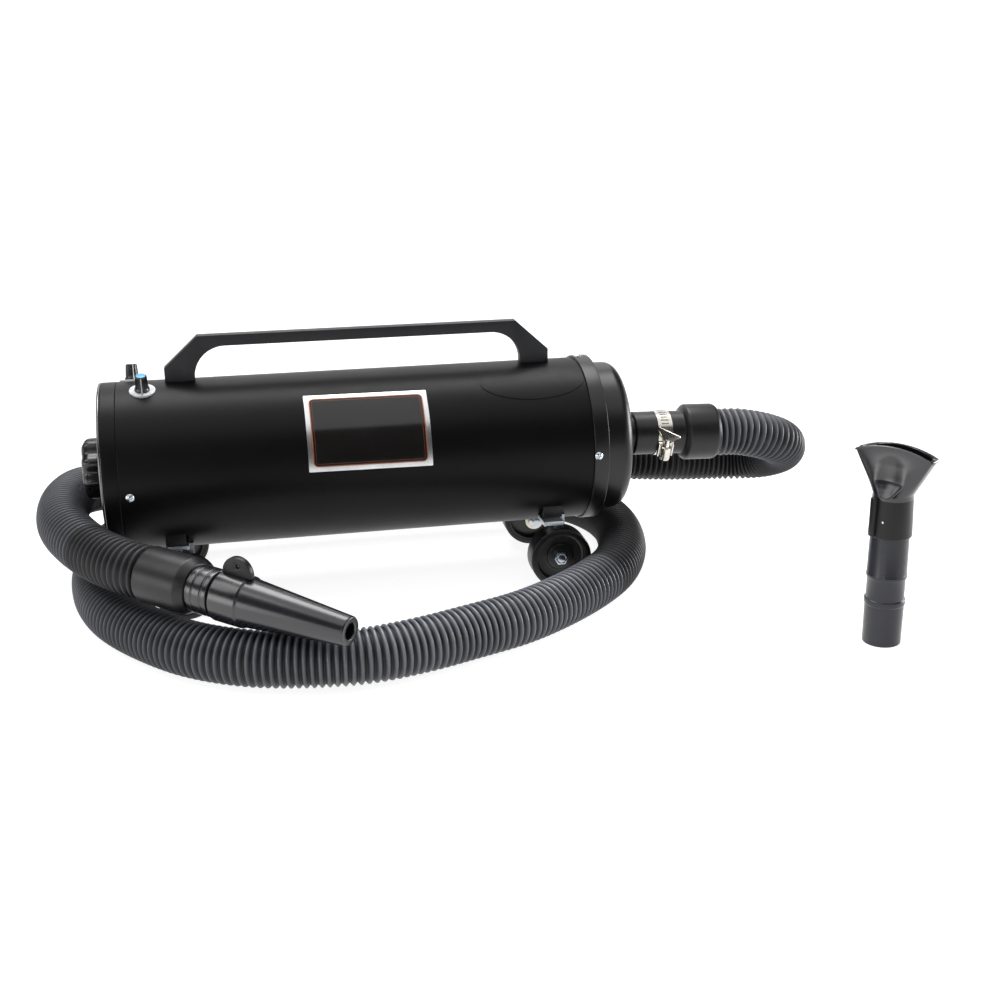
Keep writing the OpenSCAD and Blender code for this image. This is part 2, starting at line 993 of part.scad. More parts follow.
module fan_adapter() {
  color("gray")
  fan_frame()
  rotate_extrude()
  polygon([
    [15, 0], [17.3, 0], [17.6, 38], [18.3, 39], [18.3, 43], [17.1, 44], [17, 63],
    [18.1, 65], [18.1, 67], [17.8, 68], [17.3, 102], [17.2, 103], [17.2, 116.5], [15, 116.5]
  ]);
}

module cord_gland() {
  color("black")
  on_skin(-200, 270)
  difference() {
    union() {
      translate([0, 0, inner_r - 4])
      cylinder(r = 7, h = 10);
      translate([0, 0, body_r + 0.4])
      cylinder(r = 10, h = 3);
      translate([0, 0, body_r + 3.4])
      cylinder(r = 7.5, h = 9);
    }
    cylinder(r = 4, h = 120);
  }
}

// Sheet rings that carry the motors inside the tube
module mount_plates() {
  color("silver")
  for (x = [motor_x[0] - 3, motor_x[0] + 60, motor_x[1] - 3, motor_x[1] + 60])
    pipe_x(x, x + 2, inner_r - 0.2, 50);
}

module motor_gaskets() {
  color("black")
  for (x = motor_x)
    pipe_x(x + 2, x + 56, inner_r - 0.5, 72);
}

module motor_cases() {
  color("silver")
  for (x = motor_x)
    along_x(x)
    rotate_extrude()
    polygon([
      [30, 0], [70, 0], [70, 58], [46.2, 58], [46.2, 56.5], [68.5, 56.5], [68.5, 1.5], [30, 1.5]
    ]);
}

module motor_frames() {
  color("dimgray")
  for (x = motor_x)
    along_x(x + 56.5)
    rotate_extrude()
    polygon([
      [4.06, 0], [46.1, 0], [46.1, 62], [30, 80], [4.06, 80], [4.06, 70], [26, 70], [40, 58],
      [40, 8], [4.06, 8]
    ]);
}

module rotor(i) {
  along_x(motor_x[i]) {
    translate([0, 0, 10])
    cylinder(r = 4, h = 124);
    difference() {
      translate([0, 0, 12])
      cylinder(r = 62, h = 2);
      for (k = [0 : 7])
        rotate([0, 0, 45 * k])
        translate([30, 0, 10])
        cylinder(r = 5, h = 8);
    }
    for (k = [0 : 7])
      rotate([0, 0, 45 * k + 22.5])
      translate([12, -1, 13.5])
      cube([48, 2, 14]);
    translate([0, 0, 72])
    cylinder(r = 24, h = 38);
  }
}

module rotor_1() {
  color("gold")
  rotor(0);
}

module rotor_2() {
  color("gold")
  rotor(1);
}

canister_tube();
intake_ring();
filter_cover();
intake_filter();
filter_bridge();
filter_knob();
outlet_end_cap();
outlet_spigot();
end_screws();
carry_handle();
handle_bolts();
nameplate();
oval_badge();
front_dial_plate();
rear_dial_plate();
speed_controls();
front_control_shaft();
rear_control_shaft();
front_speed_knob();
rear_speed_knob();
front_knob_cap();
rear_knob_cap();
front_knob_pointer();
rear_knob_pointer();
foot_blocks();
wheel_brackets();
axle_bolts();
axle_nuts();
wheel_1_core();
wheel_1_tyre();
wheel_2_core();
wheel_2_tyre();
wheel_3_core();
wheel_3_tyre();
wheel_4_core();
wheel_4_tyre();
hose_cuff();
clamp_band();
clamp_housing();
clamp_key();
hose();
hand_cuff();
nozzle_connector();
cone_nozzle();
nozzle_ear();
fan_nozzle();
fan_adapter();
cord_gland();
mount_plates();
motor_gaskets();
motor_cases();
motor_frames();
rotor_1();
rotor_2();
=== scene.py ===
import math

import bmesh
import bpy
from mathutils import Matrix, Vector


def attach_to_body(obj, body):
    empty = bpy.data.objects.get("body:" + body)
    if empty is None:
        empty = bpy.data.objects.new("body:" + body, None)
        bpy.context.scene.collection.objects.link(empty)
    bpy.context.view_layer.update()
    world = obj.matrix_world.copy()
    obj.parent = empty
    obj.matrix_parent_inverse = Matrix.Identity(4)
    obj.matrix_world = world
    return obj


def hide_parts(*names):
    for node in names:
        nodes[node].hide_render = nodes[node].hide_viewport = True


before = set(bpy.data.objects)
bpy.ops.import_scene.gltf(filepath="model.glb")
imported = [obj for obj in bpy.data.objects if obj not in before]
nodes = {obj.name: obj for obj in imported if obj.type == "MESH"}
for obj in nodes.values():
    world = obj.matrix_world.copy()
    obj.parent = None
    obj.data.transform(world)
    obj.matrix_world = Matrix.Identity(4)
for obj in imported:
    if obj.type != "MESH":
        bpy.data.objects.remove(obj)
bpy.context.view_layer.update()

scene = bpy.context.scene
scene.view_settings.view_transform = "Standard"

canister = {"radius": 0.0825, "axisZ": 0.136}


# camera

cameraSettings = {
    "place": (-0.12736, -1.34126, 0.52465),
    "turn": 0.2012,      # to the right, radians
    "down": 0.3191,
    "lean": 0.0101,
    "lens": 49.64,
}


def makeCamera(s):
    turn, down, lean = s["turn"], s["down"], s["lean"]
    ahead = Vector((math.sin(turn) * math.cos(down), math.cos(turn) * math.cos(down), -math.sin(down)))
    right = Vector((math.cos(turn), -math.sin(turn), 0))
    below = ahead.cross(right)
    across = math.cos(lean) * right + math.sin(lean) * below
    under = -math.sin(lean) * right + math.cos(lean) * below
    data = bpy.data.cameras.new("camera")
    data.lens = s["lens"]
    data.sensor_width = 36
    data.clip_start, data.clip_end = 0.05, 50
    camera = bpy.data.objects.new("camera", data)
    scene.collection.objects.link(camera)
    turned = Matrix((across, -under, -ahead)).transposed().to_4x4()
    camera.matrix_world = Matrix.Translation(s["place"]) @ turned
    scene.camera = camera


makeCamera(cameraSettings)
print("camera placed")


# mesh tools

def meshPiece(name, points, faces, material, smooth=32):
    mesh = bpy.data.meshes.new(name)
    mesh.from_pydata([tuple(p) for p in points], [], faces)
    return finishPiece(name, mesh, material, smooth)


def finishPiece(name, mesh, material, smooth=32):
    bm = bmesh.new()
    bm.from_mesh(mesh)
    bmesh.ops.remove_doubles(bm, verts=bm.verts, dist=2e-6)
    bmesh.ops.recalc_face_normals(bm, faces=bm.faces)
    bm.to_mesh(mesh)
    bm.free()
    mesh.materials.clear()
    mesh.materials.append(material)
    mesh.shade_smooth()
    mesh.set_sharp_from_angle(angle=math.radians(smooth))
    piece = bpy.data.objects.new(name, mesh)
    scene.collection.objects.link(piece)
    return piece


# profile corners are (r, z) or (r, z, fillet), in millimetres, and fillets become short arcs
def filleted(corners, steps=4):
    path = []
    count = len(corners)
    for i, corner in enumerate(corners):
        here = Vector(corner[:2])
        if len(corner) < 3:
            path.append(here)
            continue
        back = Vector(corners[i - 1][:2]) - here
        ahead = Vector(corners[(i + 1) % count][:2]) - here
        reach = min(corner[2], back.length * 0.45, ahead.length * 0.45)
        start, end = here + back.normalized() * reach, here + ahead.normalized() * reach
        for k in range(steps + 1):
            t = k / steps
            path.append((1 - t) ** 2 * start + 2 * t * (1 - t) * here + t * t * end)
    return path


# faces of a grid that closes both along its rows and across them
def closedGrid(rows, columns):
    faces = []
    for i in range(rows):
        a, b = i * columns, (i + 1) % rows * columns
        for j in range(columns):
            n = (j + 1) % columns
            faces.append((a + j, a + n, b + n, b + j))
    return faces


def lathe(name, corners, spot, material, segments=128, smooth=32):
    profile = filleted(corners)
    points = []
    for k in range(segments):
        a = 2 * math.pi * k / segments
        for p in profile:
            points.append(spot @ (Vector((p.x * math.cos(a), p.x * math.sin(a), p.y)) / 1000))
    return meshPiece(name, points, closedGrid(segments, len(profile)), material, smooth)


# puts a bmesh that is drawn in millimetres in its place
def bmeshPiece(name, bm, spot, material, smooth=32):
    for v in bm.verts:
        v.co = spot @ (v.co / 1000)
    mesh = bpy.data.meshes.new(name)
    bm.to_mesh(mesh)
    bm.free()
    return finishPiece(name, mesh, material, smooth)


# moves with a body and may stand for CAD nodes
def attach(piece, body, slot, *replaced):
    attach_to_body(piece, body)
    if replaced:
        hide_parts(*replaced)


# a copy of a CAD node's mesh with its sharp edges rounded
def softened(name, node, width, material, angle=28, steps=2, smooth=30):
    mesh = nodes[node].data.copy()
    for layer in [a.name for a in mesh.attributes if a.name in ("custom_normal", "sharp_face", "sharp_edge")]:
        mesh.attributes.remove(mesh.attributes[layer])
    bm = bmesh.new()
    bm.from_mesh(mesh)
    bmesh.ops.remove_doubles(bm, verts=bm.verts, dist=2e-6)
    bmesh.ops.dissolve_limit(bm, angle_limit=math.radians(0.6), verts=bm.verts, edges=bm.edges)
    limit = math.radians(angle)
    sharp = [e for e in bm.edges if len(e.link_faces) == 2 and e.calc_face_angle(0) > limit]
    bmesh.ops.bevel(bm, geom=sharp, offset=width / 1000, segments=steps, profile=0.5,
                    affect="EDGES", clamp_overlap=True)
    bm.to_mesh(mesh)
    bm.free()
    piece = finishPiece(name, mesh, material, smooth)
    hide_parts(node)
    return piece


def clamped(value):
    return max(0, min(1, value))


def alongX(x):
    return Matrix.Translation((x / 1000, 0, canister["axisZ"])) @ Matrix.Rotation(math.pi / 2, 4, "Y")


def onSkin(x, angle):
    return Matrix.Translation((x / 1000, 0, canister["axisZ"])) @ Matrix.Rotation(math.radians(angle), 4, "X")


# point on the canister's skin: x and angle from the top towards the near side
def skinPoint(x, angle, radius):
    a = math.radians(angle)
    return Vector((x, -radius * math.sin(a), canister["axisZ"] * 1000 + radius * math.cos(a))) / 1000


# curved panel whose rows are (angle, left x, right x), closed on all sides
def curvedPanel(name, rows, low, high, material, columns=24, smooth=40, lean=0):
    points, faces = [], []
    across = columns + 1
    for radius in (high, low):
        for angle, left, right in rows:
            for k in range(across):
                x = left + (right - left) * k / columns
                points.append(skinPoint(x, angle + lean * x, radius))
    layer = len(rows) * across
    for i in range(len(rows) - 1):
        for k in range(columns):
            a = i * across + k
            faces.append((a, a + 1, a + 1 + across, a + across))
            faces.append((a + layer, a + layer + across, a + layer + 1 + across, a + layer + 1))
    rim = [k for k in range(columns)] + [i * across + columns for i in range(len(rows) - 1)]
    rim += [(len(rows) - 1) * across + columns - k for k in range(columns)]
    rim += [(len(rows) - 1 - i) * across for i in range(len(rows) - 1)]
    for a, b in zip(rim, rim[1:] + rim[:1]):
        faces.append((a, a + layer, b + layer, b))
    return meshPiece(name, points, faces, material, smooth)


# rows of a panel with rounded corners, lengths in millimetres along the skin
def roundedRows(x0, x1, a0, a1, corner, radius, count=40):
    perDegree = radius * math.pi / 180
    height = (a1 - a0) * perDegree
    rows = []
    for i in range(count + 1):
        s = height * (0.5 - 0.5 * math.cos(math.pi * i / count))
        edge = min(s, height - s)
        inset = 0 if edge >= corner else corner - math.sqrt(max(0, corner ** 2 - (corner - edge) ** 2))
        rows.append((a0 + s / perDegree, x0 + inset, x1 - inset))
    return rows


# thin raised line on the skin that follows a closed path of (x, angle)
def skinLine(name, path, width, low, high, material, radius, lean=0):
    perDegree = radius * math.pi / 180
    flat = [Vector((x, a * perDegree)) for x, a in path]
    points, faces = [], []
    count = len(flat)
    for i, p in enumerate(flat):
        along = (flat[(i + 1) % count] - flat[i - 1]).normalized()
        side = Vector((-along.y, along.x)) * width / 2
        for q, r in ((p + side, high), (p - side, high), (p - side, low), (p + side, low)):
            points.append(skinPoint(q.x, q.y / perDegree + lean * q.x, r))
    for i in range(count):
        a, b = 4 * i, 4 * ((i + 1) % count)
        for k in range(4):
            n = (k + 1) % 4
            faces.append((a + k, a + n, b + n, b + k))
    return meshPiece(name, points, faces, material, 40)


# material tools

def newMaterial(name, color, rough, metal=0.0, level=0.5, ior=1.5):
    material = bpy.data.materials.new(name)
    material.use_nodes = True
    tree = material.node_tree
    surface = tree.nodes["Principled BSDF"]
    surface.inputs["Base Color"].default_value = (*color, 1)
    surface.inputs["Roughness"].default_value = rough
    surface.inputs["Metallic"].default_value = metal
    surface.inputs["Specular IOR Level"].default_value = level
    surface.inputs["IOR"].default_value = ior
    return material, tree, surface


def place(tree, stretch=(1, 1, 1)):
    where = tree.nodes.new("ShaderNodeTexCoord")
    mapping = tree.nodes.new("ShaderNodeMapping")
    mapping.inputs["Scale"].default_value = stretch
    tree.links.new(where.outputs["Object"], mapping.inputs["Vector"])
    return mapping.outputs["Vector"]


def noise(tree, scale, detail=3, rough=0.55, stretch=(1, 1, 1)):
    node = tree.nodes.new("ShaderNodeTexNoise")
    node.inputs["Scale"].default_value = scale
    node.inputs["Detail"].default_value = detail
    node.inputs["Roughness"].default_value = rough
    tree.links.new(place(tree, stretch), node.inputs["Vector"])
    return node.outputs["Fac"]


def ranged(tree, value, low, high, fromLow=0.3, fromHigh=0.7):
    node = tree.nodes.new("ShaderNodeMapRange")
    node.inputs["From Min"].default_value = fromLow
    node.inputs["From Max"].default_value = fromHigh
    node.inputs["To Min"].default_value = low
    node.inputs["To Max"].default_value = high
    tree.links.new(value, node.inputs["Value"])
    return node.outputs["Result"]


def blended(tree, factor, first, second):
    node = tree.nodes.new("ShaderNodeMix")
    node.data_type = "RGBA"
    tree.links.new(factor, node.inputs["Factor"])
    for socket, value in ((node.inputs[6], first), (node.inputs[7], second)):
        if isinstance(value, (tuple, list)):
            socket.default_value = (*value, 1)
        else:
            tree.links.new(value, socket)
    return node.outputs[2]


def bumped(tree, surface, height, depth, under=None):
    node = tree.nodes.new("ShaderNodeBump")
    node.inputs["Strength"].default_value = 1
    node.inputs["Distance"].default_value = depth
    tree.links.new(height, node.inputs["Height"])
    if under:
        tree.links.new(under, node.inputs["Normal"])
    tree.links.new(node.outputs["Normal"], surface.inputs["Normal"])
    return node.outputs["Normal"]


def cloudyColor(tree, surface, s):
    cloud = ranged(tree, noise(tree, s["cloud"], 4), 0, 1)
    tree.links.new(blended(tree, cloud, s["dark"], s["light"]), surface.inputs["Base Color"])


# paint, moulded plastic and rubber: cloudy colour, uneven gloss and a fine grain
def moulded(name, s):
    material, tree, surface = newMaterial(name, s["dark"], s["rough"][0], level=s["level"],
                                          ior=s.get("ior", 1.5))
    cloudyColor(tree, surface, s)
    patch = noise(tree, s["cloud"] * 2.7, 5, 0.6)
    tree.links.new(ranged(tree, patch, *s["rough"]), surface.inputs["Roughness"])
    grain = noise(tree, s["grain"], 2, 0.6)
    first = bumped(tree, surface, grain, s["depth"])
    if "wave" in s:
        wave = noise(tree, s["wave"][0], 2, 0.5)
        bumped(tree, surface, wave, s["wave"][1], first)
    return material


# hose plastic: the ribs' crests are smoother and painted pale as a painted highlight, the valleys keep the
# plastic's dark colour
def ribbed(name, s):
    material, tree, surface = newMaterial(name, s["crest"], s["rough"][0], level=s["level"], ior=s["ior"])
    highlightMask = tree.nodes.new("ShaderNodeAttribute")
    highlightMask.attribute_name = "crest"
    cloud = ranged(tree, noise(tree, s["cloud"], 4), 0.75, 1.1)
    paintedHighlight = tree.nodes.new("ShaderNodeMath")
    paintedHighlight.operation = "MULTIPLY"
    paintedHighlight.use_clamp = True
    tree.links.new(highlightMask.outputs["Fac"], paintedHighlight.inputs[0])
    tree.links.new(cloud, paintedHighlight.inputs[1])
    # crest colour, paler than the valley colour, is a painted highlight
    tree.links.new(blended(tree, paintedHighlight.outputs[0], s["valley"], s["crest"]), surface.inputs["Base Color"])
    tree.links.new(ranged(tree, paintedHighlight.outputs[0], s["rough"][1], s["rough"][0], 0.1, 0.8),
                   surface.inputs["Roughness"])
    bumped(tree, surface, noise(tree, s["grain"], 2, 0.6), s["depth"])
    return material


# bright plated steel: brushed grain, faint tint and dull spots
def plated(name, s):
    material, tree, surface = newMaterial(name, s["dark"], s["rough"][0], metal=1.0)
    cloudyColor(tree, surface, s)
    streak = noise(tree, s["grain"], 3, 0.6, s.get("stretch", (1, 1, 1)))
    tree.links.new(ranged(tree, streak, *s["rough"]), surface.inputs["Roughness"])
    bumped(tree, surface, streak, s["depth"])
    return material


bodyPaint = moulded("bodyPaint", {
    "dark": (0.0036, 0.0032, 0.0033), "light": (0.0052, 0.0046, 0.0048), "rough": (0.36, 0.43), "level": 0.15,
    "cloud": 9, "grain": 1500, "depth": 0.000012, "wave": (420, 0.00002)})
capPaint = moulded("capPaint", {
    "dark": (0.0046, 0.0041, 0.0042), "light": (0.0066, 0.0058, 0.006), "rough": (0.3, 0.36), "level": 0.45,
    "cloud": 9, "grain": 1500, "depth": 0.00001, "wave": (420, 0.000016)})
beadPaint = moulded("beadPaint", {
    "dark": (0.011, 0.0115, 0.014), "light": (0.016, 0.017, 0.02), "rough": (0.2, 0.24), "level": 1.0,
    "ior": 1.75, "cloud": 30, "grain": 1500, "depth": 0.000003})
handlePaint = moulded("handlePaint", {
    "dark": (0.015, 0.0155, 0.018), "light": (0.023, 0.0237, 0.027), "rough": (0.42, 0.55), "level": 0.4,
    "cloud": 30, "grain": 1100, "depth": 0.00003, "wave": (260, 0.00004)})
blackPlastic = moulded("blackPlastic", {
    "dark": (0.006, 0.006, 0.007), "light": (0.011, 0.011, 0.012), "rough": (0.34, 0.5), "level": 0.45,
    "cloud": 40, "grain": 1400, "depth": 0.00002})
knobPlastic = moulded("knobPlastic", {
    "dark": (0.006, 0.006, 0.008), "light": (0.012, 0.012, 0.014), "rough": (0.2, 0.3), "level": 0.6,
    "cloud": 80, "grain": 2500, "depth": 0.000008})
bluePlastic = moulded("bluePlastic", {
    "dark": (0.07, 0.38, 0.72), "light": (0.11, 0.47, 0.8), "rough": (0.22, 0.32), "level": 0.5,
    "cloud": 160, "grain": 2500, "depth": 0.000006})
whitePlastic = moulded("whitePlastic", {
    "dark": (0.74, 0.76, 0.79), "light": (0.82, 0.83, 0.85), "rough": (0.38, 0.5), "level": 0.4,
    "cloud": 120, "grain": 2400, "depth": 0.000006})
inkBlack = moulded("inkBlack", {
    "dark": (0.012, 0.012, 0.013), "light": (0.022, 0.022, 0.024), "rough": (0.45, 0.6), "level": 0.4,
    "cloud": 200, "grain": 2600, "depth": 0.000004})
# the pale crest colour is a painted highlight; the valley colour is the hose's own dark plastic
hosePlastic = ribbed("hosePlastic", {
    "valley": (0.0016, 0.0016, 0.002), "crest": (0.3, 0.31, 0.355), "rough": (0.2, 0.5), "level": 0.42,
    "ior": 1.5, "cloud": 14, "grain": 900, "depth": 0.000008})
cuffRubber = moulded("cuffRubber", {
    "dark": (0.009, 0.0088, 0.0102), "light": (0.0135, 0.0132, 0.0152), "rough": (0.33, 0.43), "level": 0.45,
    "cloud": 34, "grain": 1200, "depth": 0.00002, "wave": (150, 0.00004)})
greyPlastic = moulded("greyPlastic", {
    "dark": (0.024, 0.025, 0.034), "light": (0.031, 0.032, 0.043), "rough": (0.27, 0.32), "level": 0.5,
    "cloud": 40, "grain": 1500, "depth": 0.000004})
nozzlePlastic = moulded("nozzlePlastic", {
    "dark": (0.0096, 0.0101, 0.0138), "light": (0.0132, 0.0138, 0.0185), "rough": (0.21, 0.25), "level": 0.85,
    "ior": 1.5, "cloud": 30, "grain": 1300, "depth": 0.000002, "wave": (90, 0.000012)})
collarPlastic = moulded("collarPlastic", {
    "dark": (0.0062, 0.0057, 0.0062), "light": (0.009, 0.0083, 0.009), "rough": (0.33, 0.4), "level": 0.35,
    "cloud": 40, "grain": 1300, "depth": 0.000006})
tyreRubber = moulded("tyreRubber", {
    "dark": (0.0036, 0.0036, 0.0042), "light": (0.0064, 0.0064, 0.0072), "rough": (0.32, 0.42), "level": 0.45,
    "cloud": 60, "grain": 1200, "depth": 0.00002})
wheelBlack = moulded("wheelBlack", {
    "dark": (0.0095, 0.0095, 0.0105), "light": (0.015, 0.015, 0.0165), "rough": (0.26, 0.36), "level": 0.6,
    "cloud": 60, "grain": 1400, "depth": 0.00002})
foamGrey = moulded("foamGrey", {
    "dark": (0.01, 0.01, 0.011), "light": (0.05, 0.05, 0.052), "rough": (0.8, 0.95), "level": 0.2,
    "cloud": 420, "grain": 520, "depth": 0.0006})
zincPlate = plated("zincPlate", {
    "dark": (0.5, 0.56, 0.64), "light": (0.74, 0.77, 0.8), "rough": (0.16, 0.28),
    "cloud": 90, "grain": 700, "depth": 0.000002})
bracketZinc = plated("bracketZinc", {
    "dark": (0.52, 0.58, 0.66), "light": (0.78, 0.82, 0.86), "rough": (0.4, 0.5),
    "cloud": 60, "grain": 400, "depth": 0.000002})
whiteZinc = plated("whiteZinc", {
    "dark": (0.6, 0.66, 0.72), "light": (0.84, 0.88, 0.9), "rough": (0.24, 0.34),
    "cloud": 200, "grain": 900, "depth": 0.000002})
yellowZinc = plated("yellowZinc", {
    "dark": (0.66, 0.6, 0.42), "light": (0.86, 0.82, 0.68), "rough": (0.25, 0.4),
    "cloud": 70, "grain": 700, "depth": 0.000004})
bandSteel = plated("bandSteel", {
    "dark": (0.6, 0.57, 0.51), "light": (0.84, 0.81, 0.75), "rough": (0.2, 0.32),
    "cloud": 120, "grain": 700, "depth": 0.000002})
liningSteel = plated("liningSteel", {
    "dark": (0.3, 0.28, 0.25), "light": (0.45, 0.43, 0.39), "rough": (0.3, 0.45),
    "cloud": 120, "grain": 700, "depth": 0.000002})
plateSilver = plated("plateSilver", {
    "dark": (0.66, 0.67, 0.69), "light": (0.84, 0.84, 0.84), "rough": (0.24, 0.34),
    "cloud": 60, "grain": 1500, "stretch": (12, 1, 1), "depth": 0.000004})
castAluminium = plated("castAluminium", {
    "dark": (0.5, 0.51, 0.53), "light": (0.68, 0.68, 0.69), "rough": (0.4, 0.6),
    "cloud": 60, "grain": 500, "depth": 0.00004})
copperWire = plated("copperWire", {
    "dark": (0.5, 0.24, 0.1), "light": (0.76, 0.42, 0.22), "rough": (0.25, 0.45),
    "cloud": 80, "grain": 900, "stretch": (1, 6, 6), "depth": 0.00004})
labelInk = moulded("labelInk", {
    "dark": (0.0105, 0.0095, 0.009), "light": (0.0155, 0.014, 0.0135), "rough": (0.12, 0.16), "level": 0.55,
    "cloud": 24, "grain": 1800, "depth": 0.000004})
labelOrange = moulded("labelOrange", {
    "dark": (0.5, 0.13, 0.045), "light": (0.62, 0.19, 0.075), "rough": (0.3, 0.4), "level": 0.4,
    "cloud": 60, "grain": 1800, "depth": 0.000004})
labelRust = moulded("labelRust", {
    "dark": (0.13, 0.036, 0.015), "light": (0.18, 0.052, 0.022), "rough": (0.3, 0.4), "level": 0.4,
    "cloud": 60, "grain": 1800, "depth": 0.000004})
labelInks = {"labelOrange": labelOrange, "labelRust": labelRust}
badgeGrey = moulded("badgeGrey", {
    "dark": (0.0076, 0.0067, 0.0067), "light": (0.0108, 0.0096, 0.0096), "rough": (0.36, 0.42), "level": 0.14,
    "cloud": 30, "grain": 1500, "depth": 0.00001})
print("materials made")


# hose: route of its centre line in millimetres, from the outlet cuff to the hand cuff

outlet = {"x": 274, "sag": 2.1, "start": 287, "step": 341, "length": 37}
hand = {"start": (-204.5, -156, 80.1), "turn": -38.9, "drop": 4.1, "length": 54}
hose = {"radius": 25, "bore": 18.5, "pitch": 6.4, "depth": 3.2, "rings": 8, "sides": 40, "gap": 1.2,
        "drop": 1.4, "lead": 25, "smoothing": 40, "held": 8, "crestWidth": 0.85, "highlightWidth": 1.9}

sag = math.radians(outlet["sag"])
cuffWay = Vector((math.cos(sag), 0, -math.sin(sag)))
cuffTip = Vector((outlet["x"], 0, 136)) + (outlet["step"] + outlet["length"] - outlet["x"]) * cuffWay
handTurn, handDrop = math.radians(hand["turn"]), math.radians(hand["drop"])
handWay = Vector((math.cos(handDrop) * math.cos(handTurn), math.cos(handDrop) * math.sin(handTurn),
                  -math.sin(handDrop)))
handStart = Vector(hand["start"])

hoseStart = cuffTip + Vector((hose["gap"], 0, -hose["drop"]))
route = [hoseStart, hoseStart + hose["lead"] * cuffWay]
route += [Vector(p) for p in (
    (429, 2, 124.5), (454, 11, 114.5), (472, 32, 101), (479, 60, 86), (470, 88, 73), (447, 107, 67),
    (415, 114, 67), (370, 115, 69), (320, 116, 73), (265, 116, 78), (210, 119, 75), (150, 122, 70),
    (70, 124, 68), (-20, 124, 67), (-100, 122, 65), (-158, 117, 57), (-206, 112, 43), (-241, 93, 32),
    (-259, 52, 26.5), (-264, 8, 25.2), (-262, -34, 25.2), (-254, -78, 25.2), (-238, -120, 25.2),
    (-210, -163, 25.2), (-173, -204, 25.2), (-128, -233, 25.2), (-78, -248, 25.2), (-25, -252, 25.2),
    (25, -241, 25.2), (75, -222, 25.2), (122, -202, 25.2), (165, -174, 25.2), (206, -139, 25.2),
    (240, -100, 25.2), (262, -57, 25.2), (274, -12, 25.2), (278, 34, 25.2), (271, 80, 25.2),
    (250, 122, 25.2), (212, 153, 25.2), (160, 167, 25.2), (90, 170, 25.2), (10, 170, 25.2),
    (-60, 170, 25.3), (-110, 170, 27), (-150, 170, 35), (-184, 168, 47), (-219, 160, 61),
    (-254, 138, 74), (-280, 102, 83), (-291, 60, 87), (-293, 15, 88), (-287, -30, 87),
    (-270, -75, 85.5), (-248, -112, 83.5))]
route += [handStart - hose["lead"] * handWay, handStart - hose["gap"] * handWay]


def splinePoint(a, b, c, d, t):
    return 0.5 * (2 * b + (c - a) * t + (2 * a - 5 * b + 4 * c - d) * t ** 2
                  + (3 * b - a - 3 * c + d) * t ** 3)


def evenLine(points, step):
    fine = []
    last = len(points) - 1
    for i in range(last):
        near = [points[max(0, i - 1)], points[i], points[i + 1], points[min(last, i + 2)]]
        fine += [splinePoint(*near, k / 24) for k in range(24)]
    fine.append(points[last])
    total = sum((b - a).length for a, b in zip(fine, fine[1:]))
    count = round(total / step)
    line, walked, target, k = [fine[0]], 0, total / count, 0
    for a, b in zip(fine, fine[1:]):
        length = (b - a).length
        while walked + length >= target and len(line) < count:
            line.append(a + (b - a) * ((target - walked) / length))
            target = total * (len(line)) / count
        walked += length
    line.append(fine[-1])
    return line


# how pale the crests are painted, a painted highlight: most on the front of the floor loop and beside the
# outlet cuff
crestHighlightPaint = {"cuff": 0.75, "cuffShare": 0.05, "cuffFade": 13, "left": 0.42, "leftX": -150, "handShare": 0.97,
           "rest": 0.1, "front": 0.4, "floorZ": 27, "frontY": -120, "rampX": 190, "rampY": 60}


def wear(p, along, s):
    if along < s["cuffShare"]:
        return s["cuff"] - s["cuffFade"] * along
    if p.z > s["floorZ"] or p.y > s["frontY"]:
        return s["left"] if p.x < s["leftX"] and along < s["handShare"] else s["rest"]
    towardsRight = clamped((p.x + s["rampX"]) / s["rampX"])
    towardsFront = clamped((s["frontY"] - p.y) / s["rampY"])
    return s["front"] + (1 - s["front"]) * towardsRight * towardsFront


def ribbedHose(s, material):
    perRib = s["rings"]
    line = evenLine(route, s["pitch"] / perRib)
    held = s["held"]
    for turn in range(s["smoothing"]):          # takes the last small kinks out of the line
        middle = [(line[i - 1] + 2 * line[i] + line[i + 1]) / 4 for i in range(held, len(line) - held)]
        line = line[:held] + middle + line[-held:]
    points = []
    sides = s["sides"]

    def ring(i, radius):
        along = (line[min(len(line) - 1, i + 2)] - line[max(0, i - 2)]).normalized()
        across = along.cross(Vector((0, 0, 1))).normalized()
        up = across.cross(along)
        for j in range(sides):
            a = 2 * math.pi * j / sides
            points.append((line[i] + radius * (math.cos(a) * across + math.sin(a) * up)) / 1000)

    last = len(line) - 1
    crests = [(0.5 + 0.5 * math.cos(2 * math.pi * i / perRib)) ** s["crestWidth"] for i in range(last + 1)]
    # painted highlight share of each ring, kept in the crest attribute
    paintedHighlight = [crest ** s["highlightWidth"] * wear(p, i / last, crestHighlightPaint)
              for i, (crest, p) in enumerate(zip(crests, line))]
    for i, crest in enumerate(crests):
        ring(i, s["radius"] - s["depth"] * (1 - crest))
    bores = list(range(0, last, perRib)) + [last]
    for i in reversed(bores):
        ring(i, s["bore"])
    piece = meshPiece("ribbedHose", points, closedGrid(last + 1 + len(bores), sides), material, 75)
    highlightMask = piece.data.attributes.new("crest", "FLOAT", "POINT")
    highlightMask.data.foreach_set("value", [c for c in paintedHighlight for j in range(sides)] + [0.0] * (len(bores) * sides))
    attach(piece, "housing", "hose_plastic", "hose")
    centre = [p / 1000 for p in line]
    return piece, centre, sum((b - a).length for a, b in zip(centre, centre[1:]))


hosePiece, hoseLine, hoseLength = ribbedHose(hose, hosePlastic)
print("hose made", round(hoseLength, 3))


# cuffs, connector and cone nozzle, along the hand end's own axis

outletPlace = (Matrix.Translation((outlet["x"] / 1000, 0, canister["axisZ"]))
               @ Matrix.Rotation(math.pi / 2 + sag, 4, "Y") @ Matrix.Translation((0, 0, -outlet["x"] / 1000)))
handPlace = (Matrix.Translation(handStart / 1000) @ Matrix.Rotation(handTurn, 4, "Z")
             @ Matrix.Rotation(math.pi / 2 + handDrop, 4, "Y"))


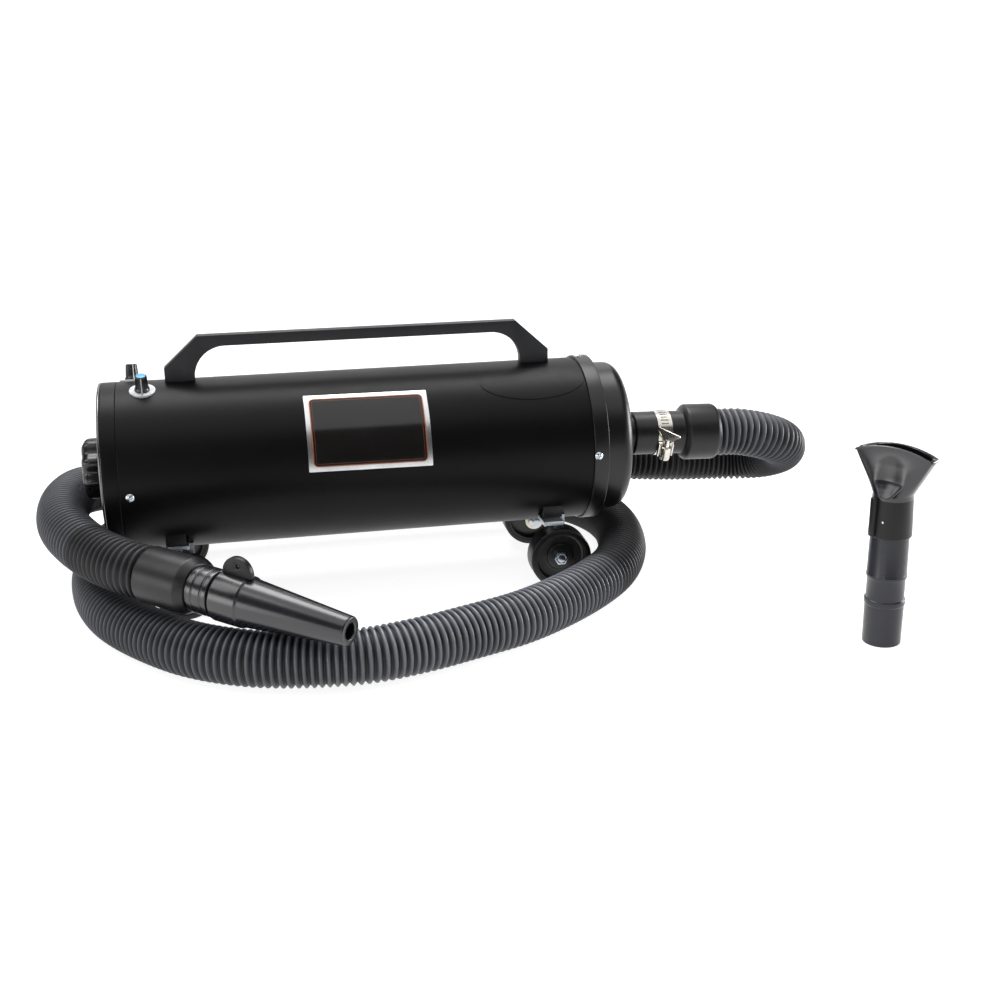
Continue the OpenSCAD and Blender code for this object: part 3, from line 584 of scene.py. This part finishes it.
def latheNode(name, corners, spot, material, body, slot, *replaced, segments=128, smooth=32):
    piece = lathe(name, corners, spot, material, segments, smooth)
    attach(piece, body, slot, *replaced)
    return piece


latheNode("outletCuff", [
    (19, 287), (21.6, 287, 0.5), (22.5, 288, 0.8), (22.5, 340.4, 0.9), (25.2, 341.2, 0.9), (26.4, 342, 0.6),
    (29.25, 344.6, 1.6), (29.25, 374.6, 1), (27.6, 378, 0.8), (25.3, 378), (18.5, 378), (18.5, 344),
    (19, 344)], outletPlace, cuffRubber, "housing", "cuff_rubber", "hose_cuff")
handCuff = latheNode("handCuff", [
    (18.55, 0.1), (24.6, 0.1), (26, 1.6, 1.2), (26, 46, 0.9), (21.8, 53.6, 0.6), (21, 54), (18.55, 54)],
    handPlace, cuffRubber, "housing", "cuff_rubber", "hand_cuff")
connector = latheNode("nozzleConnector", [
    (16, 54.1), (20.2, 54.1, 0.3), (20.2, 56.4, 0.3), (21.5, 57, 0.7), (21.5, 61.4, 0.6), (20.9, 62, 0.3),
    (20.9, 62.8, 0.3), (21.6, 63.4, 0.6), (21.6, 70.8, 0.6), (21, 71.4, 0.3), (21, 72.4, 0.3),
    (21.6, 73, 0.5), (21.6, 77.6, 0.8), (19.6, 78.4, 0.5), (18.5, 79.5), (18.5, 104), (16, 104)],
    handPlace, nozzlePlastic, "housing", "grey_plastic", "nozzle_connector")
latheNode("coneNozzle", [
    (18.55, 80.5), (22, 80.5, 0.5), (23, 81.6, 0.8), (23, 108.8, 0.8), (22, 109.7, 0.4), (21.7, 110.6, 1.2),
    (13, 210.9, 0.9), (12.1, 212, 0.5), (7.6, 212, 0.6), (7, 211.2, 0.5), (7, 192), (15.5, 108),
    (18.55, 105)], handPlace, nozzlePlastic, "cone_nozzle", "nozzle_plastic", "cone_nozzle", segments=160)


# flat ear on the nozzle's collar, with a pin hole; cut off where it meets the collar
ear = {"centre": (-24.6, 97.8), "radius": 15, "half": 3, "cut": -21.2, "hole": (-31.5, 99),
       "holeRadius": 1.7, "edge": 0.8}


def circlePoints(centre, radius, count):
    return [(centre[0] + radius * math.cos(2 * math.pi * k / count),
             centre[1] + radius * math.sin(2 * math.pi * k / count)) for k in range(count)]


def flatEar(s, material):
    outline = [p for p in circlePoints(s["centre"], s["radius"], 72) if p[0] < s["cut"]]
    start = max(range(len(outline)), key=lambda i: (Vector(outline[i]) - Vector(outline[i - 1])).length)
    outline = outline[start:] + outline[:start]
    bm = bmesh.new()
    rim = [bm.verts.new((x, -s["half"], z)) for x, z in outline]
    hole = [bm.verts.new((x, -s["half"], z)) for x, z in circlePoints(s["hole"], s["holeRadius"], 24)]
    edges = [bm.edges.new((a, b)) for a, b in zip(rim, rim[1:] + rim[:1])]
    edges += [bm.edges.new((a, b)) for a, b in zip(hole, hole[1:] + hole[:1])]
    filled = bmesh.ops.triangle_fill(bm, use_beauty=True, use_dissolve=False, edges=edges)
    faces = [g for g in filled["geom"] if isinstance(g, bmesh.types.BMFace)]
    made = bmesh.ops.extrude_face_region(bm, geom=faces)
    moved = [g for g in made["geom"] if isinstance(g, bmesh.types.BMVert)]
    bmesh.ops.translate(bm, verts=moved, vec=(0, 2 * s["half"], 0))
    bmesh.ops.dissolve_limit(bm, angle_limit=0.01, verts=bm.verts, edges=bm.edges)
    sharp = [e for e in bm.edges if len(e.link_faces) == 2 and e.calc_face_angle(0) > 0.9]
    bmesh.ops.bevel(bm, geom=sharp, offset=s["edge"], segments=2, profile=0.5, affect="EDGES",
                    clamp_overlap=True)
    attach(bmeshPiece("nozzleEar", bm, handPlace, material), "cone_nozzle", "nozzle_plastic", "nozzle_ear")


flatEar(ear, collarPlastic)
print("hand end made")


# fan nozzle: round collar that pinches flat and opens to a curved slot

fan = {"place": (448, -270, 0), "turn": -54, "mid": 186.2, "arc": 95, "reach": 94.4, "span": 23.0,
       "throat": 17.9, "collar": 19.3, "lip": 7.4, "wall": 1.6, "foot": 104, "neck": 40, "low": 139,
       "top": 143, "half": 37.5, "crown": 0.6, "thinning": 1.8, "square": 9, "endWall": 4.6,
       "scoop": 14, "scoopDepth": 5, "scoopCurve": 2.2,
       "blend": (0.8, 4.5), "blendHeights": ((146, 10), (184, 12)),
       "lipTurn": ((0.5, -1.6), (0.75, -0.8), (0.6, 0.1), (0.1, 0.5), (-0.6, 0.45), (-1.1, -0.1))}
fanPlace = (Matrix.Translation(Vector(fan["place"]) / 1000)
            @ Matrix.Rotation(math.radians(fan["turn"]), 4, "Z"))
# half thickness of the pinched neck at each height
pinch = [(95, 30), (139.4, 20.4), (141, 18.2), (145, 15.3), (149, 12.5), (153, 10.2), (156, 9.1), (159, 8.9),
         (170, 8.9), (200, 14)]


def pinchAt(z):
    for (za, ta), (zb, tb) in zip(pinch, pinch[1:]):
        if z <= zb:
            return ta + (tb - ta) * (z - za) / (zb - za)
    return pinch[-1][1]


# the smaller of two lengths, blended where they are close
def leastOf(a, b, soft):
    gap = abs(a - b)
    return min(a, b) - (max(0, soft - gap) ** 2) / (4 * soft)


def fanLoop(level, inset, endInset, across=48):
    low, top, foot, neck = fan["low"], fan["top"], fan["foot"], fan["neck"]
    zEven = low + level * (fan["mid"] - low)
    share = max(0, (zEven - top) / (fan["mid"] - top))
    radius = fan["collar"] + (fan["throat"] - fan["collar"]) * (min(zEven - foot, neck) / neck) - inset
    span = math.radians(fan["span"])
    crisp, softer = fan["blend"]
    rise, fall = fan["blendHeights"]            # (height, length) of the blend's start and end
    soft = crisp + softer * clamped((zEven - rise[0]) / rise[1]) * clamped((fall[0] - zEven) / fall[1])
    loop = []
    for side in (-1, 1):
        for k in range(across):
            u = math.cos(math.pi * k / across) * side
            xLow = radius * u
            xTop = fan["reach"] * math.sin(span * u) * (1 - endInset / fan["half"])
            zTop = fan["mid"] - fan["arc"] + fan["reach"] * math.cos(span * u) + fan["crown"]
            yLow = radius * math.sqrt(max(0, 1 - u * u))
            yTop = (fan["lip"] - inset) * (1 - abs(u) ** fan["square"]) ** (1 / fan["square"])
            y = yLow + (yTop - yLow) * (1 - (1 - share) ** fan["thinning"])
            x = xLow + (xTop - xLow) * share
            flank = pinchAt(zEven) - inset + fan["scoopDepth"] * (abs(x) / fan["scoop"]) ** fan["scoopCurve"]
            y = leastOf(y, flank, soft) if y > 0.5 else y
            z = zEven if share == 0 else top + (zTop - top) * share
            loop.append(Vector((x, side * y, z)))
    return loop


def fanShell(material, levels=60, innerLevels=30):
    loops = [fanLoop(k / levels, 0, 0) for k in range(levels + 1)]
    mouth = loops.pop()
    for grow, lift in fan["lipTurn"]:           # thick rounded lip
        loops.append([Vector((p.x * (1 + grow / 60),
                              p.y + math.copysign(min(abs(grow), abs(p.y)), p.y * grow),
                              p.z + lift)) for p in mouth])
    loops += [fanLoop(k / innerLevels, fan["wall"], fan["endWall"]) for k in range(innerLevels, -1, -1)]
    points = [fanPlace @ (p / 1000) for loop in loops for p in loop]
    piece = meshPiece("fanShell", points, closedGrid(len(loops), len(mouth)), material, 38)
    attach(piece, "fan_nozzle", "nozzle_plastic", "fan_nozzle")


fanShell(nozzlePlastic)
latheNode("fanCollar", [
    (17.25, 104.1), (18.7, 104, 0.4), (19.3, 104.8, 0.5), (18.09, 139.3), (16.4, 139.3), (16.9, 117),
    (17.25, 117)], fanPlace, collarPlastic, "fan_nozzle", "nozzle_plastic")


def fanLug(low, high, spot, width, material):
    bm = bmesh.new()
    bmesh.ops.create_cube(bm, size=1)
    for v in bm.verts:
        for axis in range(3):
            v.co[axis] = low[axis] if v.co[axis] < 0 else high[axis]
    bmesh.ops.bevel(bm, geom=bm.edges[:], offset=width, segments=3, profile=0.5, affect="EDGES",
                    clamp_overlap=True)
    attach(bmeshPiece("fanLug", bm, spot, material), "fan_nozzle", "nozzle_plastic")


fanLug((-3, -22.4, 105), (3, -16.4, 141), fanPlace @ Matrix.Rotation(math.radians(-25), 4, "Z"), 1.1,
       collarPlastic)
latheNode("fanPin", [(0, 17.6), (1, 17.6), (1, 19, 0.4), (0, 19.1)],
          fanPlace @ Matrix.Rotation(math.radians(4), 4, "Z") @ Matrix.Translation((0, 0, 0.12))
          @ Matrix.Rotation(math.pi / 2, 4, "X"), plateSilver, "fan_nozzle", "nozzle_plastic", segments=24)
latheNode("fanAdapter", [
    (15, 0), (16.8, 0, 0.4), (17.3, 0.6, 0.4), (17.6, 37.8, 0.4), (18.3, 38.8, 0.5), (18.3, 43, 0.5),
    (17.1, 43.8, 0.4), (17, 63), (18.1, 64.8, 0.5), (18.1, 67, 0.5), (17.7, 68), (17.3, 102), (17.2, 103),
    (17.2, 116.5), (15, 116.5)], fanPlace, greyPlastic, "fan_adapter", "grey_plastic", "fan_adapter")
print("fan nozzle made")


# housing pieces

def dress(material, *names):
    for name in names:
        data = nodes[name].data
        data.materials.clear()
        data.materials.append(material)


dress(blackPlastic, "filter_cover", "speed_controls", "cord_gland", "outlet_spigot")
dress(foamGrey, "intake_filter", "motor_gaskets")
dress(zincPlate, "filter_bridge", "handle_bolts", "front_control_shaft", "rear_control_shaft")
dress(castAluminium, "mount_plates", "motor_cases", "motor_frames")
dress(copperWire, "rotor_1", "rotor_2")
dress(bandSteel, "clamp_band")
attach(softened("carryHandle", "carry_handle", 1.3, handlePaint, steps=3), "housing", "handle_paint")
for name, node, body, width, material, slot in (
        ("clampHousing", "clamp_housing", "housing", 0.35, bandSteel, "zinc_steel"),
        ("clampKey", "clamp_key", "clamp_key", 0.35, bandSteel, "zinc_steel"),
        ("axleNuts", "axle_nuts", "housing", 0.45, zincPlate, "zinc_steel"),
        ("axleBolts", "axle_bolts", "housing", 0.4, zincPlate, "zinc_steel"),
        ("wheelBrackets", "wheel_brackets", "housing", 0.4, bracketZinc, "zinc_steel"),
        ("footBlocks", "foot_blocks", "housing", 0.6, blackPlastic, "black_plastic"),
        ("screwHeads", "end_screws", "housing", 0.2, whiteZinc, "zinc_steel")):
    piece = softened(name, node, width, material)
    attach(piece, body, slot)
    if name == "wheelBrackets":     # the far pair is yellow zinc
        piece.data.materials.append(yellowZinc)
        for face in piece.data.polygons:
            face.material_index = 1 if face.center.y > 0 else 0

# canister: tube, intake ring with its rolled bead, and the domed outlet cap
shell = {"radius": 82.5, "wall": 1.5, "left": -245, "seam": -229.5, "right": 225, "skirt": 240.5, "cap": 76,
         "dome": 260, "domeX": 18, "corner": 12}


def canisterShell(s, material, beadMaterial, capMaterial):
    outer, inner = s["radius"], s["radius"] - s["wall"]
    base = s["left"]
    tube = [(inner, s["seam"]), (outer - 0.25, s["seam"] + 0.02, 0.1), (outer, s["seam"] + 0.4, 0.3),
            (outer, s["right"] + 12), (inner, s["right"] + 12)]
    ring = [(inner - 1.5, base + 0.6), (outer - 2.4, base + 0.2, 0.4), (outer - 0.1, base + 1.6, 0.3),
            (outer, base + 2.4, 0.5), (outer, s["seam"] - 0.65, 0.3), (outer - 0.3, s["seam"] - 0.2, 0.1),
            (inner - 0.05, s["seam"] - 0.15), (inner - 0.05, base + 34), (inner - 1.5, base + 34)]
    bead = [(outer - 1.2 + 1.4 * math.cos(math.pi * k / 9), base + 1.4 * math.sin(math.pi * k / 9))
            for k in range(18)]
    cap = [(outer + 0.05, s["right"] + 0.5), (outer + 0.6, s["right"], 0.2),
           (outer + 2, s["right"] + 0.5, 0.6), (outer + 2, s["skirt"] - 0.6, 0.9),
           (outer + 1, s["skirt"], 0.5), (s["cap"] + 0.9, s["skirt"], 0.7), (s["cap"], s["skirt"] + 1, 0.6)]
    cornerC = s["cap"] - s["corner"]
    cornerX = s["domeX"] + math.sqrt((s["dome"] - s["corner"]) ** 2 - cornerC ** 2)
    turn = math.atan2(cornerC, cornerX - s["domeX"])
    hole = math.asin(19.3 / s["dome"])
    for grow, order in ((0, 1), (-s["wall"], -1)):       # outside, then back along the inside
        arc = []
        reach = s["corner"] + grow
        for k in range(13):
            a = math.pi / 2 - (math.pi / 2 - turn) * k / 12
            arc.append((cornerC + reach * math.sin(a), cornerX + reach * math.cos(a)))
        for k in range(1, 9):
            a = turn - (turn - hole) * k / 8
            arc.append(((s["dome"] + grow) * math.sin(a), s["domeX"] + (s["dome"] + grow) * math.cos(a)))
        cap += arc[::order]
    cap += [(s["cap"] - s["wall"], s["skirt"] - s["wall"]), (outer + 0.05, s["skirt"] - s["wall"])]
    for name, corners, paint, node in (("canisterTube", tube, material, "canister_tube"),
                                       ("intakeRing", ring, material, "intake_ring"),
                                       ("intakeBead", bead, beadMaterial, None),
                                       ("outletEndCap", cap, capMaterial, "outlet_end_cap")):
        latheNode(name, corners, alongX(0), paint, "housing", "body_paint", *([node] if node else []),
                  segments=224, smooth=28)


canisterShell(shell, bodyPaint, beadPaint, capPaint)

# filter knob: eight bulging lobes, rounded over to a shallow dish with a small boss
filterGrip = {"x": -267, "height": 18, "lobes": 8, "turn": 17, "valley": 25.8, "lobe": 4.2, "outer": 7.5,
              "inner": 3, "boss": 6.5, "stud": 4.05, "hole": 9.95}


def filterKnob(s, material, segments=192):
    height = s["height"]
    profile = [(0, 0.6), (s["boss"] - 1, 0.6), (s["boss"], 1.2), (s["boss"] + 1.5, 1.6)]
    profile = [(r, z, 0) for r, z in profile]                # (radius or inset, z, share of the lobes)
    for k in range(7):
        a = math.radians(90 * k / 6)
        profile.append((-s["outer"] * (1 - math.sin(a)), s["outer"] * (1 - math.cos(a)), 1))
    for k in range(5):
        a = math.radians(90 * k / 4)
        profile.append((-s["inner"] * (1 - math.cos(a)), height - s["inner"] * (1 - math.sin(a)), 1))
    profile += [(s["stud"], height, 0), (s["stud"], s["hole"], 0), (0, s["hole"], 0)]
    points, faces = [], []
    spot = alongX(s["x"])
    for k in range(segments):
        a = 2 * math.pi * k / segments
        wave = math.cos(s["lobes"] / 2 * (a - math.radians(s["turn"])))
        reach = s["valley"] + s["lobe"] * wave ** 2
        for r, z, lobed in profile:
            radius = reach + r if lobed else r
            points.append(spot @ (Vector((radius * math.cos(a), radius * math.sin(a), z)) / 1000))
    count = len(profile)
    for k in range(segments):
        for j in range(count - 1):
            a, b = k * count + j, (k + 1) % segments * count + j
            faces.append((a, a + 1, b + 1, b))
    attach(meshPiece("filterKnob", points, faces, material, 50), "filter_knob", "black_plastic", "filter_knob")


filterKnob(filterGrip, knobPlastic)

# wheels: rounded tyre over a dished core with a boss
wheel = {"radius": 31, "inner": 55, "width": 22, "x": ((-183.5, 187.5), (-192, 187.5)), "shift": 6}


def wheelPieces(s):
    w = s["width"]
    for number in range(4):
        side = number // 2
        spot = Matrix.Translation(((s["x"][side][number % 2] + s["shift"]) / 1000,
                                   (s["inner"] if side else -s["inner"]) / 1000, s["radius"] / 1000))
        spot = spot @ Matrix.Rotation(-math.pi / 2 if side else math.pi / 2, 4, "X")
        body = f"wheel_{number + 1}"
        latheNode(f"wheelCore{number + 1}", [
            (4.06, 0), (9.5, 0, 0.6), (9.5, 6, 0.8), (24.5, 8), (24.5, 1.2), (26, 1.2), (26, w - 1),
            (24.7, w - 1, 0.4), (24.3, w - 7.5, 2), (13.8, w - 8.5, 1.4), (13.3, w - 6.4, 1.6),
            (4.06, w - 6.4)], spot, wheelBlack, body, "wheel_plastic", f"{body}_core", smooth=24)
        latheNode(f"wheelTyre{number + 1}", [
            (26, 0), (29, 0, 0.5), (31, 0.9, 1.2), (31, w - 0.8, 0.9), (30, w, 0.7), (26.2, w, 0.4),
            (26, w - 0.6)], spot, tyreRubber, body, "tyre_rubber", f"{body}_tyre", smooth=40)


wheelPieces(wheel)

# nameplate: silver plate, orange line and a bare dark panel
plate = {"x": (-54.5, 64), "angle": (32.4, 86.4), "corner": 0.9, "border": 4.4, "lean": 0.0076,
         "lines": ((0.5, 0.95, "labelOrange"), (2.9, 0.55, "labelRust"))}


def nameplate(s):
    radius, lean = 83.3, s["lean"]
    perDegree = radius * math.pi / 180
    x0, x1 = s["x"]
    a0, a1 = s["angle"]
    silver = curvedPanel("nameplateSilver", roundedRows(x0, x1, a0, a1, s["corner"], radius), 82.52, 83.3,
                         plateSilver, lean=lean)
    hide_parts("nameplate")
    corner, e = 5, s["border"]
    d = e / perDegree
    panel = curvedPanel("nameplatePanel", roundedRows(x0 + e, x1 - e, a0 + d, a1 - d, corner + 0.5, radius),
                        83.28, 83.36, labelInk, lean=lean)
    pieces = [silver, panel]
    for number, (gap, width, ink) in enumerate(s["lines"]):
        e = s["border"] + gap
        d = e / perDegree
        bend = max(1.5, corner - gap)
        left, right, top, bottom = x0 + e, x1 - e, a0 + d, a1 - d
        path = []
        for cx, cy, start in ((right - bend, top + bend / perDegree, -90),
                              (right - bend, bottom - bend / perDegree, 0),
                              (left + bend, bottom - bend / perDegree, 90),
                              (left + bend, top + bend / perDegree, 180)):
            for k in range(9):
                a = math.radians(start + 90 * k / 8)
                path.append((cx + bend * math.cos(a), cy + bend * math.sin(a) / perDegree))
        full = []                   # sampled so that the upright sides bend with the skin
        for (xa, ya), (xb, yb) in zip(path, path[1:] + path[:1]):
            steps = max(1, int(math.hypot(xb - xa, (yb - ya) * perDegree) / 2.5))
            full += [(xa + (xb - xa) * k / steps, ya + (yb - ya) * k / steps) for k in range(steps)]
        pieces.append(skinLine(f"nameplateLine{number + 1}", full, width, 83.34, 83.42, labelInks[ink],
                               radius, lean))
    for piece in pieces:
        attach(piece, "housing", "plate_aluminium")


nameplate(plate)

# oval badge: raised rim round a bare field
badge = {"x": 171.5, "angle": 29.8, "half": (52.5, 22.5), "rim": 1.6}


def ovalRows(halfLength, halfHeight, count=36):
    rows = []
    for i in range(count + 1):
        v = -math.cos(math.pi * i / count)
        angle = badge["angle"] + math.degrees(math.asin(halfHeight * v / 82.9))
        reach = halfLength * math.sqrt(max(0, 1 - v * v)) + 0.02
        rows.append((angle, badge["x"] - reach, badge["x"] + reach))
    return rows


half = badge["half"]
rim = curvedPanel("badgeRim", ovalRows(*half), 82.52, 83.0, badgeGrey, 40)
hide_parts("oval_badge")
field = curvedPanel("badgeField", ovalRows(half[0] - badge["rim"], half[1] - badge["rim"]), 82.98, 83.06,
                    badgeGrey, 40)
for piece in (rim, field):
    attach(piece, "housing", "badge_plastic")

latheNode("clampLining", [(22.52, 311), (22.9, 311), (22.9, 325.5), (22.52, 325.5)], outletPlace, liningSteel,
          "housing", "zinc_steel")
print("housing dressed")


# speed knobs and their dial plates, drawn a little smaller than their solids
dial = {"places": ((-204, 15.7), (-215, -15.7)), "top": 83.6, "ticks": 11, "sweep": 270, "inner": 8.4,
        "outer": 9.3, "numbers": 10.6, "size": 1.6, "ink": 0.05, "mark": (7.8, 11.8, 0.75),
        "knobScale": (0.867, 0.835), "plateScale": (0.904, 1)}


def speedKnob(number, s):
    label = ("front", "rear")[number]
    spot = onSkin(*s["places"][number]) @ Matrix.Translation((0, 0, s["top"] / 1000))
    for part, node, material, scale, body, slot in (
            ("SpeedKnob", "speed_knob", knobPlastic, s["knobScale"], f"{label}_knob", "knob_plastic"),
            ("KnobCap", "knob_cap", bluePlastic, s["knobScale"], f"{label}_knob", "blue_plastic"),
            ("KnobPointer", "knob_pointer", whitePlastic, s["knobScale"], f"{label}_knob", "white_plastic"),
            ("DialPlate", "dial_plate", whitePlastic, s["plateScale"], "housing", "white_plastic")):
        piece = softened(f"{label}{part}", f"{label}_{node}", 0.12, material)
        across, up = scale
        piece.data.transform(spot @ Matrix.Diagonal((across, across, up, 1)) @ spot.inverted())
        attach(piece, body, slot)


# printed ring of ticks and numbers round each speed knob


def dialPrint(number, s):
    x, tilt = s["places"][number]
    spot = onSkin(x, tilt) @ Matrix.Translation((0, 0, s["top"] / 1000))
    bm = bmesh.new()

    def bar(turn, r0, r1, width):
        around = Matrix.Rotation(math.radians(turn), 4, "Z")
        flat = [(-width / 2, -r0), (width / 2, -r0), (width / 2, -r1), (-width / 2, -r1)]
        low = [bm.verts.new(around @ Vector((a, b, 0.005))) for a, b in flat]
        high = [bm.verts.new(around @ Vector((a, b, s["ink"]))) for a, b in flat]
        bm.faces.new(high)
        bm.faces.new(low[::-1])
        for k in range(4):
            n = (k + 1) % 4
            bm.faces.new((low[k], low[n], high[n], high[k]))

    bar(0, *s["mark"])
    for k in range(s["ticks"]):
        turn = 180 + s["sweep"] * (k / (s["ticks"] - 1) - 0.5)
        bar(turn, s["inner"], s["outer"], 0.3)
        curve = bpy.data.curves.new("digits", "FONT")
        curve.body = str(k)
        curve.size = s["size"]
        curve.align_x = "CENTER"
        curve.align_y = "CENTER"
        curve.extrude = s["ink"] / 2
        holder = bpy.data.objects.new("digits", curve)
        scene.collection.objects.link(holder)
        digits = bpy.data.meshes.new_from_object(holder)
        bpy.data.objects.remove(holder)
        digits.transform(Matrix.Rotation(math.radians(turn + 180), 4, "Z")
                         @ Matrix.Translation((0, s["numbers"], s["ink"] / 2)))
        bm.from_mesh(digits)
        bpy.data.meshes.remove(digits)
    name = ("frontDialPrint", "rearDialPrint")[number]
    attach(bmeshPiece(name, bm, spot, inkBlack, 20), "housing", "knob_plastic")


for number in range(2):
    speedKnob(number, dial)
    dialPrint(number, dial)
print("dials printed")


# floor, world and lamps

studio = {"floor": 0.42, "floorGlow": 0.9, "wallGlow": 1.0, "world": 0.06, "side": 3.0, "back": 3.2,
          "front": -4.5, "bend": 0.9, "height": 1.05}


# adds a glow that only the camera, reflections and glass see, so that white stays white
def whiteMaterial(name, color, glow):
    material, tree, surface = newMaterial(name, (color, color, color), 0.75, level=0.2)
    tree.links.new(ranged(tree, noise(tree, 3, 2), 0.7, 0.8), surface.inputs["Roughness"])
    ray = tree.nodes.new("ShaderNodeLightPath")
    total = ray.outputs["Is Camera Ray"]
    for kind in ("Is Glossy Ray", "Is Transmission Ray"):
        both = tree.nodes.new("ShaderNodeMath")
        both.operation = "MAXIMUM"
        tree.links.new(total, both.inputs[0])
        tree.links.new(ray.outputs[kind], both.inputs[1])
        total = both.outputs[0]
    strength = tree.nodes.new("ShaderNodeMath")
    strength.operation = "MULTIPLY"
    strength.inputs[1].default_value = glow
    tree.links.new(total, strength.inputs[0])
    lit = tree.nodes.new("ShaderNodeEmission")
    tree.links.new(strength.outputs[0], lit.inputs["Strength"])
    added = tree.nodes.new("ShaderNodeAddShader")
    tree.links.new(surface.outputs[0], added.inputs[0])
    tree.links.new(lit.outputs[0], added.inputs[1])
    tree.links.new(added.outputs[0], tree.nodes["Material Output"].inputs["Surface"])
    return material


# floor with a white cove round the back and the sides, open towards the camera
def makeStage(s):
    floorWhite = whiteMaterial("floorWhite", s["floor"], s["floorGlow"])
    coveWhite = whiteMaterial("coveWhite", s["floor"], s["wallGlow"])
    x, back, front, bend = s["side"], s["back"], s["front"], s["bend"]
    floor = meshPiece("floor", [(-x, front, 0), (x, front, 0), (x, back, 0), (-x, back, 0)], [(0, 1, 2, 3)],
                      floorWhite)
    plan = [(-x, front, -1, 0)]
    for cx, cy, start in ((-x + bend, back - bend, 180), (x - bend, back - bend, 90)):
        for k in range(9):
            a = math.radians(start - 90 * k / 8)
            plan.append((cx + bend * math.cos(a), cy + bend * math.sin(a), math.cos(a), math.sin(a)))
    plan.append((x, front, 1, 0))
    points, faces = [], []
    levels = [(-0.35 + 0.35 * math.sin(math.radians(10 * k)), 0.35 - 0.35 * math.cos(math.radians(10 * k)))
              for k in range(10)] + [(0, s["height"])]
    for px, py, nx, ny in plan:
        points += [(px + out * nx, py + out * ny, up + 0.0005) for out, up in levels]
    rise = len(levels)
    for i in range(len(plan) - 1):
        for k in range(rise - 1):
            a = i * rise + k
            faces.append((a, a + 1, a + 1 + rise, a + rise))
    cove = meshPiece("cove", points, faces, coveWhite, 60)
    world = bpy.data.worlds.new("studio")
    scene.world = world
    world.use_nodes = True
    background = world.node_tree.nodes["Background"]
    background.inputs["Color"].default_value = (1, 1, 1, 1)
    background.inputs["Strength"].default_value = s["world"]


# name, place, aim, width and height, power
lamps = (
    ("topSoftbox", (0.1, 0.75, 1.9), (0.05, 0, 0.1), (1.7, 0.9), 31),
    ("backSoftbox", (0.1, 2.2, 1.5), (0.05, 0, 0.15), (2.6, 1.0), 12),
    ("ceiling", (0.1, -0.6, 2.1), (0.1, -0.6, 0), (3.2, 2.4), 26),
    ("upperLeftSoftbox", (-1.2, -0.1, 1.35), (0.1, -0.1, 0.1), (0.8, 0.8), 5),
    ("frontLeftSoftbox", (-0.95, -1.7, 0.62), (0, -0.2, 0.05), (0.35, 0.7), 3),
    ("leftSoftbox", (-1.9, -0.75, 0.32), (-0.1, -0.2, 0.08), (0.9, 0.6), 4.5),
    ("rightSoftbox", (1.9, 0.05, 0.3), (0.2, -0.05, 0.12), (0.8, 0.7), 24))


def softLamp(name, spot, aim, size, power):
    data = bpy.data.lights.new(name, "AREA")
    data.shape = "RECTANGLE"
    data.size, data.size_y = size
    data.energy = power
    lamp = bpy.data.objects.new(name, data)
    scene.collection.objects.link(lamp)
    lamp.location = spot
    lamp.rotation_mode = "QUATERNION"
    lamp.rotation_quaternion = (Vector(aim) - Vector(spot)).to_track_quat("-Z", "Y")


makeStage(studio)
for settings in lamps:
    softLamp(*settings)
print("stage made")
